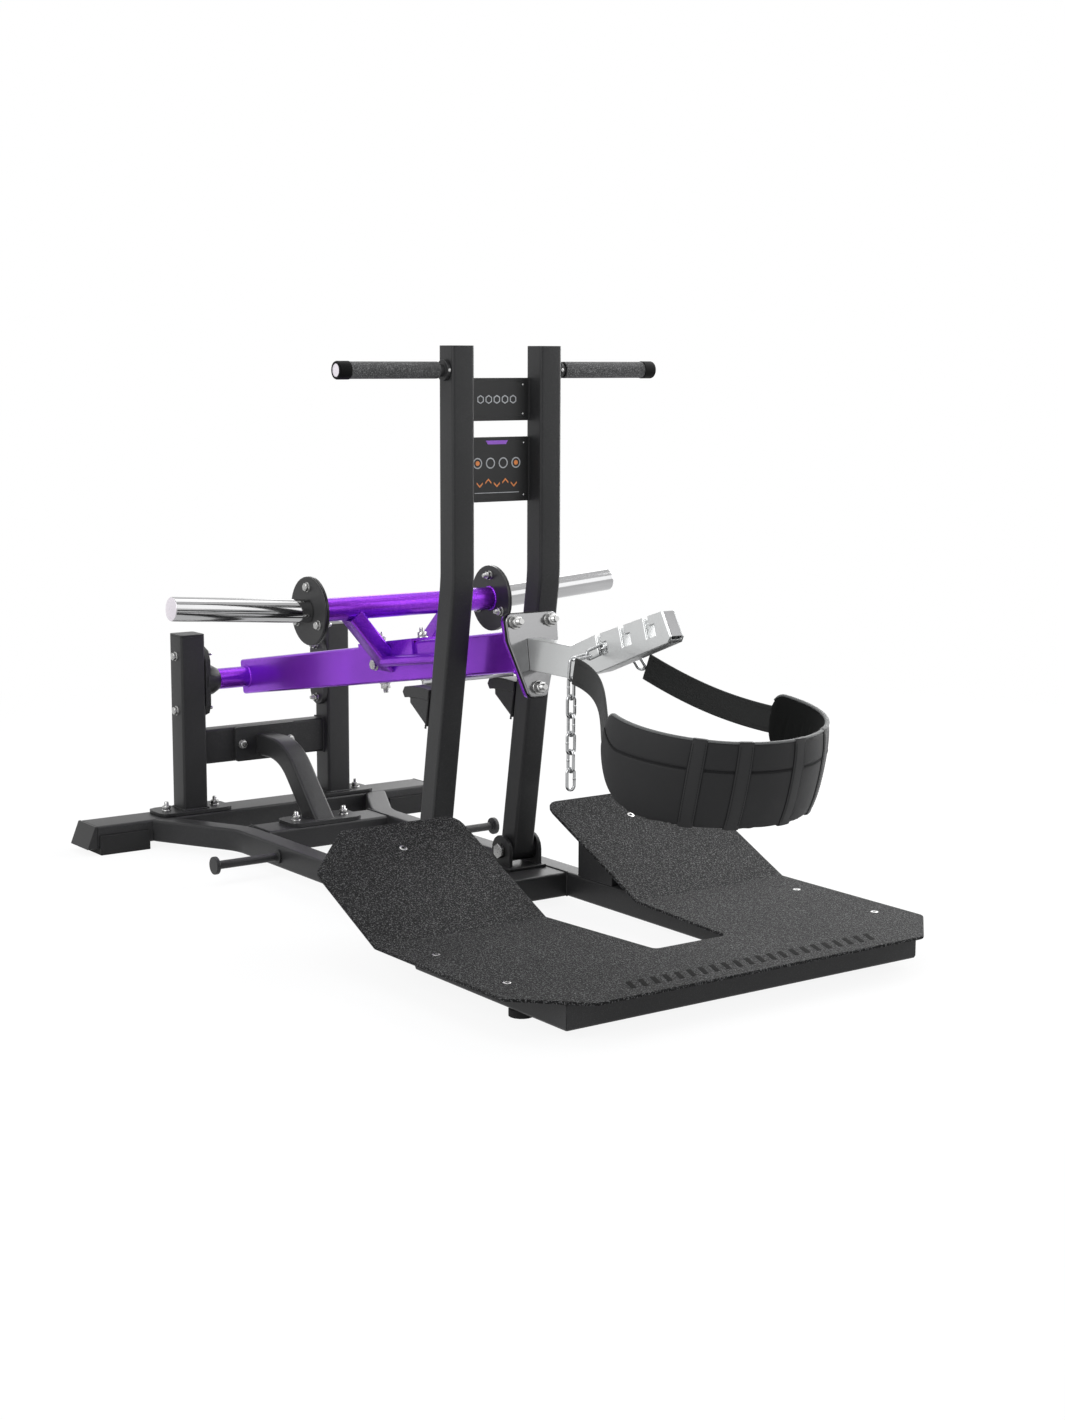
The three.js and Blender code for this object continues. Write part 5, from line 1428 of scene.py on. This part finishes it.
padTable = [(step * 0.5 - belt["openDegrees"], Vector(padPlace(step * 0.5 - belt["openDegrees"])))
            for step in range(int(belt["openDegrees"] * 4) + 1)]


def padCoordinates(place):  # (degrees, drop, out) of a point in metres
    x, y, z = place.x * 1000, (place.y - deckFront) * 1000, place.z * 1000
    drop, degrees = 70.0, 0.0
    for attempt in range(3):
        flatY = y - belt["shear"] * drop
        degrees, nearest = min(padTable, key=lambda row: (row[1].x - x) ** 2 + (row[1].y - flatY) ** 2)
        drop = belt["rim"] + belt["rimSlope"] * (nearest.y - belt["y"]) - z
    out = (Vector((x, y - belt["shear"] * drop)) - nearest).dot(padNormal(degrees).xy)
    return degrees, drop, out


swell = {"voxel": 4.6, "pressure": 3.2, "frames": 16, "cap": 3.0, "pinWidth": 6.0, "pinEdge": 5,
         "pinBand": 4, "quality": 6, "tension": 18, "bending": 0.6}


def nearBand(degrees):
    return min(abs(degrees - middle) for middle in bands["degrees"]) * math.radians(1) * belt["halfWidth"]


def swellPad(pad):
    remesh = pad.modifiers.new("remesh", "REMESH")
    remesh.mode = "VOXEL"
    remesh.voxel_size = mm(swell["voxel"])
    graph = bpy.context.evaluated_depsgraph_get()
    mesh = bpy.data.meshes.new_from_object(pad.evaluated_get(graph))
    pad.modifiers.clear()
    pad.data = mesh
    rest = [v.co.copy() for v in mesh.vertices]
    held = pad.vertex_groups.new(name="held")
    for index, place in enumerate(rest):
        degrees, drop, out = padCoordinates(place)
        top, bottom = padLimits(degrees)
        edge = min(drop - top, bottom - drop, arcReach(degrees))
        hold = max(0.0, 1 - max(0.0, edge - swell["pinEdge"]) / swell["pinWidth"])
        if out > 0:
            fromBand = nearBand(degrees) - bands["half"] + swell["pinBand"]
            hold = max(hold, 1 - abs(drop - seamDrop(degrees)) / swell["pinWidth"],
                       1 - max(0.0, fromBand) / swell["pinWidth"])
        if hold > 0:
            held.add([index], min(1.0, hold), "REPLACE")
    cloth = pad.modifiers.new("swell", "CLOTH")
    cloth.settings.quality = swell["quality"]
    cloth.settings.use_pressure = True
    cloth.settings.uniform_pressure_force = swell["pressure"]
    cloth.settings.effector_weights.gravity = 0
    cloth.settings.tension_stiffness = swell["tension"]
    cloth.settings.bending_stiffness = swell["bending"]
    cloth.settings.vertex_group_mass = "held"
    cloth.collision_settings.use_collision = False
    scene = bpy.context.scene
    for number in range(1, swell["frames"] + 1):
        scene.frame_set(number)
    graph = bpy.context.evaluated_depsgraph_get()
    swollen = bpy.data.meshes.new_from_object(pad.evaluated_get(graph))
    pad.modifiers.clear()
    pad.data = swollen
    for vertex, start in zip(swollen.vertices, rest):
        shift = vertex.co - start
        if shift.length > mm(swell["cap"]):
            vertex.co = start + shift.normalized() * mm(swell["cap"])
    scene.frame_set(1)
    pad.vertex_groups.clear()


def carvePad(pad):  # finer faces, then the sewn channel and the weave's coordinates
    bm = bmesh.new()
    bm.from_mesh(pad.data)
    bmesh.ops.subdivide_edges(bm, edges=bm.edges, cuts=1, use_grid_fill=True, smooth=1.0)
    bm.to_mesh(pad.data)
    bm.free()
    marks = []
    for vertex in pad.data.vertices:
        degrees, drop, out = padCoordinates(vertex.co)
        if out > 0:
            away = abs(drop - seamDrop(degrees)) / seam["width"]
            dent = seam["depth"] * math.exp(-away * away) * min(1.0, max(0.0, arcReach(degrees) - 3) / 8)
            vertex.co -= padNormal(degrees) * mm(dent)
        marks.append((mm(math.radians(degrees) * belt["halfWidth"]), mm(drop)))
    setWeave(pad, marks)


def makePad():
    pad = makePiece("pad_cushion", "belt", buildPadShell, "padFabric")
    pad.modifiers.clear()
    swellPad(pad)
    carvePad(pad)
    if not pad.data.materials:
        pad.data.materials.append(finishes["padFabric"])
    pad.data.materials.append(finishes["liningFabric"])
    for face in pad.data.polygons:
        face.use_smooth = True
        degrees, drop, out = padCoordinates(face.center)
        if out < -belt["half"] * belt["lining"]:
            face.material_index = 1
    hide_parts("belt_pad")


makePad()


def bandPath(degrees, offset):  # down the inside, over the rim, down the outside and under
    top, bottom = padLimits(degrees)
    tall = bottom - top
    h = belt["half"] + offset
    points = [(top + bands["inside"], -h), (top + 5, -h), (top - offset + 1.2, -h * 0.55),
              (top - offset - 0.2, 0), (top - offset + 1.0, h * 0.5)]
    for k in range(1, 20):
        share = k / 20
        points.append((top + tall * share, padBulge(share) + offset))
    points += [(bottom + offset - 1.0, h * 0.5), (bottom + offset + 0.2, 0),
               (bottom + offset - 1.2, -h * 0.55), (bottom - 5, -h), (bottom - bands["inside"], -h)]
    return points


def buildBands(bm, marks):
    wide = bands["columns"]
    for middle in bands["degrees"]:
        grids = []
        for offset in (0.15, bands["proud"]):
            grid = []
            for k in range(wide + 1):
                reach = (2 * k / wide - 1) * bands["half"]
                degrees = middle + math.degrees(reach / belt["halfWidth"])
                lift = offset if offset < 1 else offset * (1 - 0.35 * abs(2 * k / wide - 1) ** 6)
                grid.append([(padPoint(degrees, d, o), reach, d) for d, o in bandPath(degrees, lift)])
            grids.append(grid)
        rings = []
        for k in range(len(grids[0][0])):
            ring = [grids[1][i][k] for i in range(wide + 1)] + [grids[0][i][k] for i in range(wide, -1, -1)]
            verts = []
            for place, reach, drop in ring:
                verts.append(bm.verts.new(at(*place)))
                marks.append((mm(reach), mm(drop)))
            rings.append(verts)
        joinRings(bm, rings)
        bm.faces.new(list(reversed(rings[0])))
        bm.faces.new(rings[-1])


bandMarks = []
bandPiece = makePiece("pad_bands", "belt", lambda bm: buildBands(bm, bandMarks), "bandFabric",
                      0.0005)
setWeave(bandPiece, bandMarks)

binding = {"half": 4.1, "tall": 2.3, "drop": 1.4, "step": 1.5, "run": 5.2, "endDegrees": 1}


def buildBinding(bm, marks):
    widest = belt["openDegrees"] - binding["endDegrees"]
    count = int(2 * widest / binding["step"])
    stations = []
    for k in range(count + 1):
        degrees = (2 * k / count - 1) * widest
        drop = padLimits(degrees)[0] + binding["drop"]
        place = at(*padPoint(degrees, drop, 0))
        outward = (at(*padPoint(degrees, drop, 10)) - place).normalized()
        stations.append((place, outward, up))
    oval = [(mm(binding["half"]) * a, mm(binding["tall"]) * b) for a, b in roundSection(1, 14)]
    rings = sweepSection(bm, stations, lambda i: oval)
    for i, ring in enumerate(rings):
        marks.extend((mm(i * binding["run"]), a) for a, b in oval)


bindingMarks = []
bindingPiece = makePiece("pad_binding", "belt", lambda bm: buildBinding(bm, bindingMarks), "bindFabric")
setWeave(bindingPiece, bindingMarks)


def seamStations(step):  # the degrees along the sewn seam, which stops short of the pad's ends
    count = int(2 * (belt["openDegrees"] - seam["endDegrees"]) / step)
    return [-belt["openDegrees"] + seam["endDegrees"] + k * step for k in range(count + 1)]


def addCord(bm, points):
    if len(points) > 2:
        sweepSection(bm, alongPath(points), lambda i: roundSection(mm(stitch["cordRadius"]), 8))


# A dark piping cord runs along the sewn seam, and the dark cords just outside each band's edges are painted
# shadow lines where a band meets the pad
def buildSeamPipingAndShadowLines(bm):
    line = []
    for degrees in seamStations(seam["pipeStep"]):
        if nearBand(degrees) < bands["half"] - 1:
            addCord(bm, line)
            line = []
            continue
        top, bottom = padLimits(degrees)
        drop = seamDrop(degrees)
        line.append(at(*padPoint(degrees, drop, padBulge((drop - top) / (bottom - top)) - 0.1)))
    addCord(bm, line)
    # Painted shadow: a thin dark cord along each band's edge stands in for the shade beside the raised band
    for middle in bands["degrees"]:
        for edge in (-1, 1):
            degrees = middle + math.degrees(edge * (bands["half"] + 0.5) / belt["halfWidth"])
            addCord(bm, [at(*padPoint(degrees, d, o)) for d, o in bandPath(degrees, 0.3)[5:-5]])


makePiece("pad_piping_and_shadow_lines", "belt", buildSeamPipingAndShadowLines, "seamThreadAndShadowLines")


def buildPadStitches(bm):
    points, normals = [], []
    for degrees in seamStations(seam["threadStep"]):
        top, bottom = padLimits(degrees)
        drop = seamDrop(degrees)
        share = (drop - top) / (bottom - top)
        if nearBand(degrees) < bands["half"] + 1:
            if len(points) > 1:
                addStitches(bm, points, normals)
            points, normals = [], []
            continue
        here = padPoint(degrees, drop + seam["threadDrop"], padBulge(share) - seam["depth"] * 0.3)
        outside = padPoint(degrees, drop, 20) - padPoint(degrees, drop, 0)
        points.append(at(*here))
        normals.append(outside)
    if len(points) > 1:
        addStitches(bm, points, normals)
    for middle in bands["degrees"]:
        for edge in (-1, 1):
            reach = edge * (bands["half"] - 3)
            degrees = middle + math.degrees(reach / belt["halfWidth"])
            path = bandPath(degrees, bands["proud"])[5:-5]
            line = [(padPoint(degrees, d, o), padPoint(degrees, d, o + 5)) for d, o in path]
            addStitches(bm, [at(*a) for a, b in line], [b - a for a, b in line])


makePiece("pad_stitches", "belt", buildPadStitches, "seamThreadAndShadowLines")
print("filled the belt pad")
